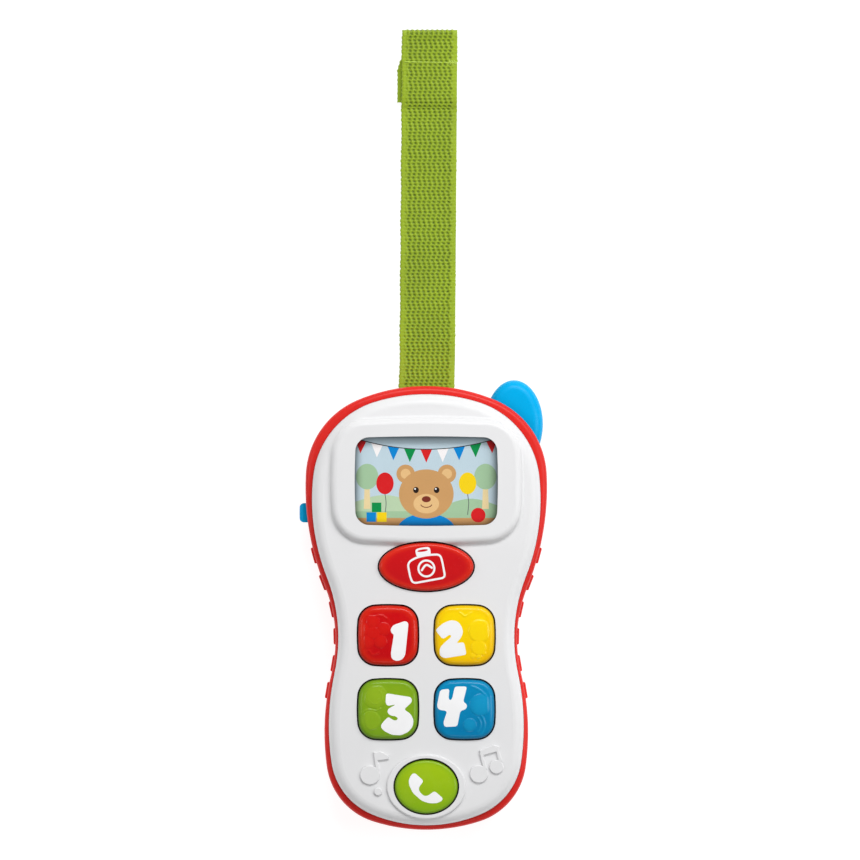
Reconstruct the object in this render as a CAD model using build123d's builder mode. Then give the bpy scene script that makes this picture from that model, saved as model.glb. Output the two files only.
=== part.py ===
from build123d import *
import math
import os

# Toy cell phone lying on its back, all sizes in millimetres. X points to the right-hand side,
# Y to the top with the strap, Z out of the front face. The origin is on the flat back,
# in the middle of the case.

# --- Case outline: widths and the heights at which they lie, and the arcs that join them ---
case_length = 159.2
case_top = 79.5
head_width = 86.7
waist_width = 65.2
foot_width = 73.1
head_y = 43.2
waist_y = -11.6
foot_up = 35.0
crown_r = 63.2
shoulder_r = 30.4
head_side_r = 94.6
foot_corner_r = 24.1
base_r = 62.6

# --- Red rim left in sight round the white front cover ---
rim_top = 2.95
rim_base = 1.7
rim_head = 2.4
rim_waist = 1.1
rim_foot = 1.65
cover_head_drop = 4.3
cover_waist_rise = 0.8
cover_foot_rise = 2.2
cover_crown_r = 62.6
cover_shoulder_r = 31.4
cover_side_r = 75.5
cover_corner_r = 23.9
cover_base_r = 50.3

# --- Rear cover ---
floor_t = 2.2
ledge_z = 17.0
rim_z = 20.5
ledge_w = 1.2
back_edge_r = 8.0
rim_edge_r = 2.0
cavity_edge_r = 5.0
cover_fit = 0.1
rib_rows = 6
rib_top_y = 18.7
rib_pitch = 9.68
rib_length = 5.8
rib_height = 11.0
rib_rise = 0.7
rib_root = 1.0
rib_edge_r = 0.5
rib_z = 12.5

# --- Front cover ---
front_z = 28.0
face_drop = 3.527
cover_t = 2.0
cover_side_t = 1.8
cover_edge_r = 4.0
cover_inner_edge_r = 1.9

# --- Screen ---
screen_y = 45.4
window_w = 51.3
window_h = 32.1
window_r = 5.0
window_bulge = 0.5
bezel_w = 68.4
bezel_h = 45.4
bezel_r = 12.5
bezel_bulge = 1.6
bezel_rise = 2.6
bezel_edge_r = 2.3
bezel_foot_r = 1.0
lens_lip = 3.1
lens_fit = 0.15
lens_t = 1.5
lens_drop = 1.4
picture_t = 0.4
diffuser_t = 0.6
light_box_t = 1.4
led_r = 1.5
led_h = 4.0
led_spread = 24.0

# --- Keys ---
key_gap = 0.45
key_travel = 1.5
key_wall = 1.5
flange_reach = 1.3
flange_t = 1.0
flange_gap = 0.2
stem_r = 2.6
number_w = 21.6
number_r = 6.3
number_bulge = 0.9
number_rise = 1.8
number_edge_r = 2.0
number_gap_x = 5.8
number_gap_y = 4.9
number_top_y = -9.8
camera_w = 34.0
camera_h = 17.5
camera_y = 14.8
camera_rise = 2.0
camera_edge_r = 1.6
call_w = 22.7
call_h = 19.5
call_up = 15.7
call_rise = 1.6
call_edge_r = 1.4
call_tab_h = 9.0
ring_w = 28.4
ring_h = 23.2
ring_rise = 0.9
ring_edge_r = 0.5

# --- Notes raised on the front cover, beside the call key: places are measured from its middle ---
note_rise = 0.8
note_edge_r = 0.3
flag_note_head = (-20.2, 4.1)
flag_note_head_w = 7.0
flag_note_head_h = 6.8
flag_note_stem = [(-18.9, 11.6), (-17.7, 11.6), (-16.8, 5.9), (-18.0, 5.5)]
flag_note_flag = [(-19.0, 12.2), (-16.5, 12.7), (-13.4, 11.2), (-13.4, 9.8), (-17.6, 9.3)]
note_dot = (-17.3, -1.8)
note_dot_r = 1.4
pair_heads = [(18.8, 4.5, 3.2), (25.1, 7.1, 2.5)]
pair_stems = [
    [(19.0, 12.0), (20.3, 11.8), (21.8, 6.4), (20.6, 5.6)],
    [(24.9, 13.1), (26.1, 13.1), (27.3, 9.0), (26.0, 8.4)],
]
pair_beam = [(19.0, 13.0), (24.0, 15.0), (26.2, 14.4), (26.1, 12.7), (19.6, 11.0)]

# --- Circuit board and keypad mat ---
board_t = 1.6
board_top_z = 18.5
board_inset = 4.0
board_gap = 0.6
mat_t = 0.8
mat_w = 52.0
mat_under_call = 9.0
mat_top_y = 24.6
mat_corner_r = 5.0
dome_h = 2.2
dome_base_r = 5.5
dome_top_r = 3.8
dome_wall = 0.8
stem_gap = 0.1
chip_r = 6.5
chip_h = 1.2
chip_y = 10.0
chip_edge_r = 0.84

# --- Small components, placed from the middle of the chip ---
resistor_w = 1.4
resistor_l = 2.6
resistor_h = 0.8
resistor_places = [(12.0, 0.0), (15.0, 0.0), (-12.0, -3.0)]
capacitor_r = 2.5
capacitor_h = 5.0
capacitor_at = (-13.0, 5.0)
wire_header_w = 6.0
wire_header_l = 2.6
wire_header_h = 2.0
wire_header_at = (13.5, -7.0)

# --- Case screws and board screws ---
head_post_x = 33.0
head_post_y = 22.0
foot_post_x = 24.5
foot_post_up = 21.7
post_r = 3.8
post_top_z = 13.5
screw_seat_z = 7.0
screw_head_r = 2.2
screw_head_h = 1.6
screw_r = 1.05
screw_length = 10.0
screw_slot_l = 2.6
screw_slot_w = 0.6
screw_slot_deep = 0.7
screw_head_gap = 0.3
screw_hole_gap = 0.3
pilot_gap = 0.05
boss_r = 2.7
board_screw_head_x = 24.0
board_screw_head_y = 9.0
board_screw_foot_x = 20.0
board_screw_foot_up = 26.7
board_boss_r = 2.1
board_screw_r = 0.85
board_screw_head_r = 1.9
board_screw_head_h = 1.2
board_screw_length = 5.6
board_screw_slot_w = 0.5
board_screw_slot_deep = 0.5

# --- Batteries, their bay and its door ---
battery_r = 5.25
battery_l = 44.5
battery_edge_r = 0.5
battery_cap_r = 1.9
battery_cap_h = 0.8
battery_gap = 0.35
battery_row_gap = 0.6
contact_space = 2.9
contact_t = 0.4
contact_w = 8.0
bay_wall = 1.5
bay_up = 42.7
door_t = 2.4
door_sunk = 0.2
door_lap = 2.8
door_gap = 0.25
door_ledge_gap = 0.15
hinge_pin_r = 0.7
hinge_pin_l = 1.3
hinge_fit = 0.06
hinge_pin_end_gap = 0.2
grip_lines = 5
grip_pitch = 4.0
grip_w = 14.0
grip_t = 1.0
grip_deep = 0.4
plinth_wall = 1.8
plinth_top_t = 1.5
door_boss_r = 3.6
door_boss_h = 1.6
door_screw_r = 1.5
door_screw_head_r = 2.8
door_screw_head_h = 1.5
door_screw_tip_z = 8.0
door_screw_swing = 0.35
door_screw_head_gap = 0.1
door_slot_l = 4.0
door_slot_w = 0.8
door_slot_deep = 0.8
retainer_r = 2.4
retainer_t = 0.6
retainer_gap = 0.1
retainer_space = 0.6
tower_r = 5.3
tower_top_z = 11.0
spring_wire_r = 0.3
spring_r = 3.2
spring_turns = 3

# --- Speaker ---
speaker_y = 36.0
speaker_r = 14.0
speaker_flange_t = 1.0
speaker_h = 4.6
speaker_neck_r = 8.0
speaker_fit = 0.15
speaker_ring_t = 1.2
speaker_ring_h = 4.0
magnet_r = 7.5
magnet_h = 3.4
cloth_t = 0.3
cone_r = 11.0
cone_t = 0.4
cone_lift = 0.5
cone_deep = 2.9
cone_cap_r = 3.0
cone_cap_drop = 0.8
cone_rim_w = 1.5
cone_rim_lap = 0.2
basket_rim = 1.0
basket_wall = 1.0
basket_top_t = 0.8
magnet_edge_r = 0.5
grille_hole_r = 1.0
grille_pitch = 3.6

# --- Side switch ---
switch_y = 34.0
switch_travel = 4.0
knob_length = 6.9
knob_height = 5.0
knob_z = 12.5
knob_proud = 2.6
knob_edge_r = 1.6
knob_gap = 0.3
knob_flange_reach = 1.4
knob_flange_t = 1.0
knob_flange_gap = 0.8
switch_can_w = 5.5
switch_can_l = 13.0
switch_can_h = 4.6
switch_can_wall = 0.5
slider_w = 2.0
slider_fit = 0.05
slider_tip_gap = 0.4
slider_slot_end = 0.5
slider_slot_side = 0.2
slider_head_w = 2.4
slider_head_l = 5.0
slider_head_h = 3.0
switch_can_gap = 1.4
knob_socket_deep = 1.2

# --- Antenna ---
antenna_x = 31.5
antenna_y = 65.8
antenna_half_w = 10.4
antenna_half_h = 15.8
antenna_z = 6.3
antenna_t = 10.0
antenna_edge_r = 3.6
antenna_fit = 0.1
antenna_flange = 2.0

# --- Strap ---
strap_w = 20.0
strap_layer_t = 1.25
strap_fold_y = 207.8
strap_tail_y = 181.6
strap_floor_y = 90.0
strap_pin_y = 72.3
strap_pin_z = 3.3
strap_pin_r = 1.5
strap_pin_gap = 0.25
strap_pin_socket = 2.0
pocket_side_gap = 2.0
pocket_wall = 1.8
pocket_depth_y = 3.8
pocket_ceiling_z = 9.6

# --- Wires ---
wire_r = 0.55

os.makedirs("parts", exist_ok=True)


# --- Outlines ---------------------------------------------------------------------------
def blend_centre(centre_a, radius_a, centre_b, radius_b, radius):
    """Centre of a circle that touches circles a and b from inside, on the outer side."""
    reach_a = radius_a - radius
    reach_b = radius_b - radius
    span = centre_b - centre_a
    along = (reach_a**2 - reach_b**2 + span.length**2) / (2 * span.length)
    across = math.sqrt(reach_a**2 - along**2)
    ahead = span.normalized()
    aside = Vector(-ahead.Y, ahead.X)
    sides = [centre_a + ahead * along + aside * across, centre_a + ahead * along - aside * across]
    return max(sides, key=lambda point: point.X)


def touch(centre, radius, other):
    """Point of the circle that lies on the line to the other circle's centre."""
    return centre + (other - centre).normalized() * radius


def side_arcs(length, top, widths, heights, crown, shoulder, flank, corner, base):
    """Arcs down the right side: (centre, radius, start, end), radius negative at the waist."""
    head, waist, foot = [width / 2 for width in widths]
    high, middle, low = heights
    base_end = top - length
    crown_c = Vector(0, top - crown)
    head_c = Vector(head - flank, high)
    shoulder_c = blend_centre(crown_c, crown, head_c, flank, shoulder)
    inset = waist - head_c.X
    waist_r = (inset**2 + (middle - high) ** 2 - flank**2) / (2 * (flank - inset))
    waist_c = Vector(waist + waist_r, middle)
    inset = waist_c.X - foot
    foot_r = (inset**2 + (middle - low) ** 2 - waist_r**2) / (2 * (waist_r - inset))
    foot_c = Vector(foot - foot_r, low)
    base_c = Vector(0, base_end + base)
    corner_c = blend_centre(base_c, base, foot_c, foot_r, corner)
    points = [
        Vector(0, top),
        touch(crown_c, crown, shoulder_c),
        touch(head_c, flank, shoulder_c),
        touch(head_c, flank, waist_c),
        touch(foot_c, foot_r, waist_c),
        touch(foot_c, foot_r, corner_c),
        touch(base_c, base, corner_c),
        Vector(0, base_end),
    ]
    circles = [
        (crown_c, crown),
        (shoulder_c, shoulder),
        (head_c, flank),
        (waist_c, -waist_r),
        (foot_c, foot_r),
        (corner_c, corner),
        (base_c, base),
    ]
    return [
        (centre, radius, points[i], points[i + 1]) for i, (centre, radius) in enumerate(circles)
    ]


def inset_point(centre, radius, point, inset):
    """An outline point moved inwards, which is outwards from the centre of a hollow arc."""
    side = math.copysign(1, radius)
    return centre + (point - centre).normalized() * (abs(radius) - side * inset)


def outline_face(arcs, inset=0.0):
    """Face inside an outline that is moved inwards all round."""
    with BuildSketch() as face:
        with BuildLine():
            for centre, radius, start, end in arcs:
                ThreePointArc(
                    inset_point(centre, radius, start, inset),
                    inset_point(centre, radius, (start + end) / 2, inset),
                    inset_point(centre, radius, end, inset),
                )
            mirror(about=Plane.YZ)
        make_face()
    return face.sketch


def half_width(arcs, y):
    """Half the width of an outline at height y."""
    for centre, radius, start, end in arcs:
        if end.Y <= y <= start.Y:
            return centre.X + math.copysign(math.sqrt(radius**2 - (y - centre.Y) ** 2), radius)
    raise ValueError("height lies beyond the outline")


def outward(arcs, y):
    """Angle in degrees of the outline's outward direction at height y on the right side."""
    for centre, radius, start, end in arcs:
        if end.Y <= y <= start.Y:
            return math.degrees(math.asin((y - centre.Y) / radius))
    raise ValueError("height lies beyond the outline")


def cushion(width, height, corner_r, bulge):
    """Rounded rectangle whose four sides bow outwards."""
    right = width / 2
    up = height / 2
    x = right - bulge
    y = up - bulge
    with BuildSketch() as face:
        with BuildLine():
            ThreePointArc((-x, y), (0, up), (x, y))
            ThreePointArc((x, y), (right, 0), (x, -y))
            ThreePointArc((x, -y), (0, -up), (-x, -y))
            ThreePointArc((-x, -y), (-right, 0), (-x, y))
        make_face()
        fillet(face.vertices(), corner_r)
    return face.sketch


def face_z(x, y, rise=0.0):
    """Height of the domed front face, or of a surface that stands over it, at a place."""
    return math.sqrt((face_r + rise) ** 2 - x**2 - y**2) + front_z - face_r


base_y = case_top - case_length
face_r = ((case_length / 2) ** 2 + face_drop**2) / (2 * face_drop)
foot_y = base_y + foot_up
call_y = base_y + call_up
foot_post_y = base_y + foot_post_up
board_screw_foot_y = base_y + board_screw_foot_up
bay_y = base_y + bay_up
mat_base_y = call_y - mat_under_call
lens_top_z = front_z - lens_drop
number_spread = number_w + number_gap_x
number_pitch = number_w + number_gap_y

case_arcs = side_arcs(
    case_length,
    case_top,
    (head_width, waist_width, foot_width),
    (head_y, waist_y, foot_y),
    crown_r,
    shoulder_r,
    head_side_r,
    foot_corner_r,
    base_r,
)
cover_arcs = side_arcs(
    case_length - rim_top - rim_base,
    case_top - rim_top,
    (head_width - 2 * rim_head, waist_width - 2 * rim_waist, foot_width - 2 * rim_foot),
    (head_y - cover_head_drop, waist_y + cover_waist_rise, foot_y + cover_foot_rise),
    cover_crown_r,
    cover_shoulder_r,
    cover_side_r,
    cover_corner_r,
    cover_base_r,
)
case_face = outline_face(case_arcs)
cover_face = outline_face(cover_arcs)
cover_inner_face = outline_face(cover_arcs, cover_side_t)
cover_socket_face = outline_face(cover_arcs, -cover_fit)
cavity_face = outline_face(cover_arcs, ledge_w)
board_face = outline_face(cover_arcs, board_inset)
window_face = cushion(window_w, window_h, window_r, window_bulge)
bezel_face = cushion(bezel_w, bezel_h, bezel_r, bezel_bulge)
pocket_face = cushion(
    window_w + 2 * lens_lip, window_h + 2 * lens_lip, window_r + lens_lip, window_bulge
)
lens_face = cushion(
    window_w + 2 * lens_lip - 2 * lens_fit,
    window_h + 2 * lens_lip - 2 * lens_fit,
    window_r + lens_lip - lens_fit,
    window_bulge,
)
light_well_face = cushion(
    window_w + 2 * lens_lip - 2 * light_box_t,
    window_h + 2 * lens_lip - 2 * light_box_t,
    window_r + lens_lip - light_box_t,
    window_bulge,
)
number_face = cushion(number_w, number_w, number_r, number_bulge)
number_hole_face = cushion(
    number_w + 2 * key_gap, number_w + 2 * key_gap, number_r + key_gap, number_bulge
)
number_flange_face = cushion(
    number_w + 2 * flange_reach, number_w + 2 * flange_reach, number_r + flange_reach, number_bulge
)
number_core_face = cushion(
    number_w - 2 * key_wall, number_w - 2 * key_wall, number_r - key_wall, number_bulge
)

# --- Places worked out from the sizes ---
number_places = [
    (-number_spread / 2, number_top_y),
    (number_spread / 2, number_top_y),
    (-number_spread / 2, number_top_y - number_pitch),
    (number_spread / 2, number_top_y - number_pitch),
]
key_places = number_places + [(0, camera_y), (0, call_y)]
case_posts = [
    (-head_post_x, head_post_y),
    (head_post_x, head_post_y),
    (-foot_post_x, foot_post_y),
    (foot_post_x, foot_post_y),
]
board_posts = [
    (-board_screw_head_x, board_screw_head_y),
    (board_screw_head_x, board_screw_head_y),
    (-board_screw_foot_x, board_screw_foot_y),
    (board_screw_foot_x, board_screw_foot_y),
]
board_z = board_top_z - board_t
mat_z = board_top_z + mat_t
dome_z = mat_z + dome_h
stem_z = dome_z + stem_gap
boss_pilot_r = screw_r + pilot_gap
bay_half_w = battery_r * 2 + battery_row_gap
bay_half_l = battery_l / 2 + contact_space
door_top_z = door_sunk + door_t
recess_z = door_top_z + door_ledge_gap
battery_z = door_top_z + battery_gap + battery_r
bay_z = battery_z + battery_r + battery_gap
battery_x = battery_r + battery_row_gap / 2
door_half_w = bay_half_w + door_lap
hinge_y = bay_y - bay_half_l - door_lap
hinge_z = door_sunk + door_t / 2
door_screw_y = bay_y + bay_half_l + bay_wall + door_boss_r + door_gap
door_end_y = door_screw_y + door_boss_r + door_gap
boss_hole_r = door_boss_r + door_gap + 0.1
plinth_z = recess_z + plinth_top_t
pocket_half_w = strap_w / 2 + pocket_side_gap
pocket_y = strap_pin_y - pocket_depth_y
strap_t = 2 * strap_layer_t
magnet_z = floor_t + cloth_t + speaker_h


def boss(x, y, radius, bottom, top):
    """Cylinder between two heights, for the running part."""
    with Locations((x, y, (bottom + top) / 2)):
        Cylinder(radius, top - bottom)


def hole(x, y, radius, bottom, top):
    """Round hole between two heights, for the running part."""
    with Locations((x, y, (bottom + top) / 2)):
        Cylinder(radius, top - bottom, mode=Mode.SUBTRACT)


# --- Rear cover -----------------------------------------------------------------------
with BuildPart() as case_block:
    with BuildSketch():
        add(case_face)
    extrude(amount=rim_z)
    fillet(case_block.faces().sort_by(Axis.Z)[0].edges(), back_edge_r)
    fillet(case_block.faces().sort_by(Axis.Z)[-1].edges(), rim_edge_r)

with BuildPart() as cavity:
    with BuildSketch(Plane.XY.offset(floor_t)):
        add(cavity_face)
    extrude(amount=ledge_z - floor_t)
    fillet(cavity.faces().sort_by(Axis.Z)[0].edges(), cavity_edge_r)

with BuildPart() as finger_rib:
    with Locations(((rib_rise - rib_root) / 2, 0, 0)):
        Box(rib_rise + rib_root, rib_length, rib_height)
    fillet(finger_rib.faces().sort_by(Axis.X)[-1].edges(), rib_edge_r)

with BuildPart() as pocket_block:
    with Locations((0, (pocket_y - pocket_wall + case_top) / 2, (pocket_ceiling_z + pocket_wall) / 2)):
        Box(
            2 * (pocket_half_w + pocket_wall + strap_pin_socket),
            case_top - pocket_y + pocket_wall,
            pocket_ceiling_z + pocket_wall,
        )
    add(case_block.part, mode=Mode.INTERSECT)

with BuildPart() as antenna_hole:
    with BuildSketch(Plane.XY.offset(antenna_z - antenna_fit)):
        with Locations((antenna_x, antenna_y)):
            Ellipse(antenna_half_w + antenna_fit, antenna_half_h + antenna_fit)
    extrude(amount=antenna_t + 2 * antenna_fit)
    fillet(antenna_hole.faces().filter_by(Axis.Z).edges(), antenna_edge_r)

with BuildPart() as rear_cover:
    add(case_block.part)
    for row in range(rib_rows):
        rib_y = rib_top_y - row * rib_pitch
        rib_x = half_width(case_arcs, rib_y)
        lean = outward(case_arcs, rib_y)
        with Locations(Location((rib_x, rib_y, rib_z), (0, 0, lean))):
            add(finger_rib.part)
        with Locations(Location((-rib_x, rib_y, rib_z), (0, 0, 180 - lean))):
            add(finger_rib.part)
    add(cavity.part, mode=Mode.SUBTRACT)
    with BuildSketch(Plane.XY.offset(ledge_z)):
        add(cover_socket_face)
    extrude(amount=rim_z - ledge_z + 1, mode=Mode.SUBTRACT)
    add(pocket_block.part)
    # Battery bay, plinth round its door and tower for the door screw
    with Locations((0, (hinge_y + door_end_y) / 2, plinth_z / 2)):
        Box(
            2 * (door_half_w + door_gap + plinth_wall),
            door_end_y - hinge_y + door_t + 2 * (door_gap + plinth_wall),
            plinth_z,
        )
    with Locations((0, bay_y, (bay_z + bay_wall) / 2)):
        Box(2 * (bay_half_w + bay_wall), 2 * (bay_half_l + bay_wall), bay_z + bay_wall)
    boss(0, door_screw_y, tower_r, 0, tower_top_z)
    for x, y in case_posts:
        boss(x, y, post_r, floor_t / 2, post_top_z)
    boss(0, speaker_y, speaker_r + speaker_fit + speaker_ring_t, floor_t / 2, floor_t + speaker_ring_h)
    # Hollows
    with Locations((0, (hinge_y + door_end_y) / 2 - door_t / 4, recess_z / 2)):
        Box(
            2 * (door_half_w + door_gap),
            door_end_y - hinge_y + door_t / 2 + 2 * door_gap,
            recess_z,
            mode=Mode.SUBTRACT,
        )
    with Locations((0, bay_y, bay_z / 2)):
        Box(2 * bay_half_w, 2 * bay_half_l, bay_z, mode=Mode.SUBTRACT)
    hole(0, door_screw_y, boss_hole_r, 0, door_top_z + door_boss_h + door_gap)
    retainer_hole_z = door_top_z + door_boss_h + retainer_t + 2 * door_gap
    hole(0, door_screw_y, retainer_r + retainer_space, 0, retainer_hole_z)
    hole(0, door_screw_y, door_screw_r + door_screw_swing, 0, door_screw_tip_z + door_gap)
    with Locations((0, hinge_y, hinge_z)):
        Cylinder(
            hinge_pin_r + hinge_fit,
            2 * (door_half_w + door_gap + hinge_pin_l),
            rotation=(0, 90, 0),
            mode=Mode.SUBTRACT,
        )
    for x, y in case_posts:
        hole(x, y, screw_head_r + screw_head_gap, 0, screw_seat_z)
        hole(x, y, screw_r + screw_hole_gap, 0, post_top_z)
    hole(0, speaker_y, speaker_r + speaker_fit, floor_t, floor_t + speaker_ring_h)
    hole(0, speaker_y, grille_hole_r, 0, floor_t)
    for ring in (1, 2):
        with Locations((0, speaker_y, floor_t / 2)):
            with PolarLocations(ring * grille_pitch, 6 * ring):
                Cylinder(grille_hole_r, floor_t, mode=Mode.SUBTRACT)
    # Strap pocket, open to the back and to the top, and the sockets of its pin
    with Locations((0, (pocket_y + case_top + 1) / 2, pocket_ceiling_z / 2)):
        Box(2 * pocket_half_w, case_top + 1 - pocket_y, pocket_ceiling_z, mode=Mode.SUBTRACT)
    with Locations((0, strap_pin_y, strap_pin_z)):
        Cylinder(
            strap_pin_r,
            2 * (pocket_half_w + strap_pin_socket),
            rotation=(0, 90, 0),
            mode=Mode.SUBTRACT,
        )
    add(antenna_hole.part, mode=Mode.SUBTRACT)
    # Slot for the side switch
    with Locations((-half_width(case_arcs, switch_y), switch_y + switch_travel / 2, knob_z)):
        Box(
            12,
            knob_length + switch_travel + 2 * knob_gap,
            knob_height + 2 * knob_gap,
            mode=Mode.SUBTRACT,
        )
rear_cover.part.label = "rear_cover"
export_step(rear_cover.part, "parts/rear_cover.step")

# --- Front cover ----------------------------------------------------------------------
with BuildPart() as bezel:
    with BuildSketch(Plane.XY.offset(ledge_z)):
        with Locations((0, screen_y)):
            add(bezel_face)
    extrude(amount=front_z + bezel_rise + 1 - ledge_z)
    with Locations((0, 0, front_z - face_r)):
        Sphere(face_r + bezel_rise, rotation=(90, 0, 0), mode=Mode.INTERSECT)
    fillet(bezel.faces().sort_by(Axis.Z)[-1].edges(), bezel_edge_r)

with BuildPart() as call_ring:
    with BuildSketch(Plane.XY.offset(ledge_z)):
        with Locations((0, call_y)):
            Ellipse(ring_w / 2, ring_h / 2)
    extrude(amount=front_z + ring_rise + 1 - ledge_z)
    with Locations((0, 0, front_z - face_r)):
        Sphere(face_r + ring_rise, rotation=(90, 0, 0), mode=Mode.INTERSECT)
    fillet(call_ring.faces().sort_by(Axis.Z)[-1].edges(), ring_edge_r)

note_heads = [(*flag_note_head, flag_note_head_w / 2, flag_note_head_h / 2)]
note_heads += [(*note_dot, note_dot_r, note_dot_r)]
note_heads += [(x, y, radius, radius) for x, y, radius in pair_heads]
note_bars = [flag_note_stem, flag_note_flag, pair_beam] + pair_stems
note_blocks = []
for shape in note_heads + note_bars:
    with BuildPart() as note:
        with BuildSketch(Plane.XY.offset(front_z - 2 * cover_edge_r)):
            with Locations((0, call_y)):
                if shape in note_heads:
                    x, y, half_w, half_h = shape
                    with Locations((x, y)):
                        Ellipse(half_w, half_h)
                else:
                    Polygon(*shape, align=None)
        extrude(amount=3 * cover_edge_r)
        with Locations((0, 0, front_z - face_r)):
            Sphere(face_r + note_rise, rotation=(90, 0, 0), mode=Mode.INTERSECT)
        fillet(note.faces().sort_by(Axis.Z)[-1].edges(), note_edge_r)
    note_blocks.append(note.part)

with BuildPart() as cover_hollow:
    with BuildSketch(Plane.XY.offset(ledge_z - 1)):
        add(cover_inner_face)
    extrude(amount=front_z - ledge_z + 1)
    with Locations((0, 0, front_z - face_r)):
        Sphere(face_r - cover_t, rotation=(90, 0, 0), mode=Mode.INTERSECT)
    fillet(cover_hollow.faces().sort_by(Axis.Z)[-1].edges(), cover_inner_edge_r)

with BuildPart() as front_cover:
    with BuildSketch(Plane.XY.offset(ledge_z)):
        add(cover_face)
    extrude(amount=front_z - ledge_z)
    with Locations((0, 0, front_z - face_r)):
        Sphere(face_r, rotation=(90, 0, 0), mode=Mode.INTERSECT)
    fillet(front_cover.faces().sort_by(Axis.Z)[-1].edges(), cover_edge_r)
    add(bezel.part)
    fillet(front_cover.edges(Select.NEW), bezel_foot_r)
    add(call_ring.part)
    for block in note_blocks:
        add(block)
    add(cover_hollow.part, mode=Mode.SUBTRACT)
    with BuildSketch(Plane.XY.offset(ledge_z)):
        with Locations((0, screen_y)):
            add(pocket_face)
    extrude(amount=lens_top_z - ledge_z, mode=Mode.SUBTRACT)
    for x, y in case_posts:
        boss(x, y, boss_r, post_top_z, face_z(x, y) - cover_t / 2)
    for x, y in board_posts:
        boss(x, y, board_boss_r, board_top_z, face_z(x, y) - cover_t / 2)
    for x, y in case_posts:
        hole(x, y, boss_pilot_r, post_top_z, screw_seat_z + screw_length + screw_head_gap)
    for x, y in board_posts:
        hole(x, y, board_screw_r + pilot_gap, board_top_z, board_z + board_screw_length + screw_head_gap)
    # Window and key openings
    with BuildSketch(Plane.XY.offset(ledge_z)):
        with Locations((0, screen_y)):
            add(window_face)
        with Locations(*number_places):
            add(number_hole_face)
        with Locations((0, camera_y)):
            Ellipse(camera_w / 2 + key_gap, camera_h / 2 + key_gap)
        with Locations((0, call_y)):
            Ellipse(call_w / 2 + key_gap, call_h / 2 + key_gap)
    extrude(amount=front_z + bezel_rise + 1 - ledge_z, mode=Mode.SUBTRACT)
front_cover.part.label = "front_cover"
export_step(front_cover.part, "parts/front_cover.step")


# --- Screen -----------------------------------------------------------------------------
lens_z = lens_top_z - lens_t
picture_z = lens_z - picture_t
diffuser_z = picture_z - diffuser_t

with BuildPart() as screen_lens:
    with BuildSketch(Plane.XY.offset(lens_z)):
        with Locations((0, screen_y)):
            add(lens_face)
    extrude(amount=lens_t)
screen_lens.part.label = "screen_lens"
export_step(screen_lens.part, "parts/screen_lens.step")

with BuildPart() as screen_picture:
    with BuildSketch(Plane.XY.offset(picture_z)):
        with Locations((0, screen_y)):
            add(lens_face)
    extrude(amount=picture_t)
screen_picture.part.label = "screen_picture"
export_step(screen_picture.part, "parts/screen_picture.step")

with BuildPart() as screen_diffuser:
    with BuildSketch(Plane.XY.offset(diffuser_z)):
        with Locations((0, screen_y)):
            add(lens_face)
    extrude(amount=diffuser_t)
screen_diffuser.part.label = "screen_diffuser"
export_step(screen_diffuser.part, "parts/screen_diffuser.step")

with BuildPart() as light_box:
    with BuildSketch(Plane.XY.offset(board_top_z)):
        with Locations((0, screen_y)):
            add(lens_face)
            add(light_well_face, mode=Mode.SUBTRACT)
    extrude(amount=diffuser_z - board_top_z)
light_box.part.label = "light_box"
export_step(light_box.part, "parts/light_box.step")

with BuildPart() as screen_leds:
    with BuildSketch(Plane.XY.offset(board_top_z)):
        with Locations((-led_spread / 2, screen_y), (led_spread / 2, screen_y)):
            Circle(led_r)
    extrude(amount=led_h)
    fillet(screen_leds.edges().group_by(Axis.Z)[-1], led_r * 0.8)
screen_leds.part.label = "screen_leds"
export_step(screen_leds.part, "parts/screen_leds.step")


# --- Keys -------------------------------------------------------------------------------
def flange_z(x, y, half_w, half_h):
    """Top of a key's flange, just under the inside of the front cover at its far corner."""
    return face_z(abs(x) + half_w, abs(y) + half_h, -cover_t) - flange_gap


for number, (x, y) in enumerate(number_places, start=1):
    top_z = face_z(x, y) + number_rise
    reach = number_w / 2 + flange_reach
    under_z = flange_z(x, y, reach, reach) - flange_t
    with BuildPart() as number_button:
        with BuildSketch(Plane.XY.offset(under_z)):
            with Locations((x, y)):
                add(number_face)
        extrude(amount=top_z - under_z)
        fillet(number_button.faces().sort_by(Axis.Z)[-1].edges(), number_edge_r)
        with BuildSketch(Plane.XY.offset(under_z)):
            with Locations((x, y)):
                add(number_flange_face)
        extrude(amount=flange_t)
        with BuildSketch(Plane.XY.offset(under_z)):
            with Locations((x, y)):
                add(number_core_face)
        extrude(amount=top_z - number_edge_r - under_z, mode=Mode.SUBTRACT)
        boss(x, y, stem_r, stem_z, top_z - number_edge_r / 2)
    number_button.part.label = f"number_button_{number}"
    export_step(number_button.part, f"parts/number_button_{number}.step")

camera_top_z = face_z(0, camera_y) + camera_rise
camera_under_z = flange_z(0, camera_y, camera_w / 2 + flange_reach, camera_h / 2 + flange_reach) - flange_t
with BuildPart() as camera_button:
    with BuildSketch(Plane.XY.offset(camera_under_z)):
        with Locations((0, camera_y)):
            Ellipse(camera_w / 2, camera_h / 2)
    extrude(amount=camera_top_z - camera_under_z)
    fillet(camera_button.faces().sort_by(Axis.Z)[-1].edges(), camera_edge_r)
    with BuildSketch(Plane.XY.offset(camera_under_z)):
        with Locations((0, camera_y)):
            Ellipse(camera_w / 2 + flange_reach, camera_h / 2 + flange_reach)
    extrude(amount=flange_t)
    with BuildSketch(Plane.XY.offset(camera_under_z)):
        with Locations((0, camera_y)):
            Ellipse(camera_w / 2 - key_wall, camera_h / 2 - key_wall)
    extrude(amount=camera_top_z - camera_edge_r - camera_under_z, mode=Mode.SUBTRACT)
    boss(0, camera_y, stem_r, stem_z, camera_top_z - camera_edge_r / 2)
camera_button.part.label = "camera_button"
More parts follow.
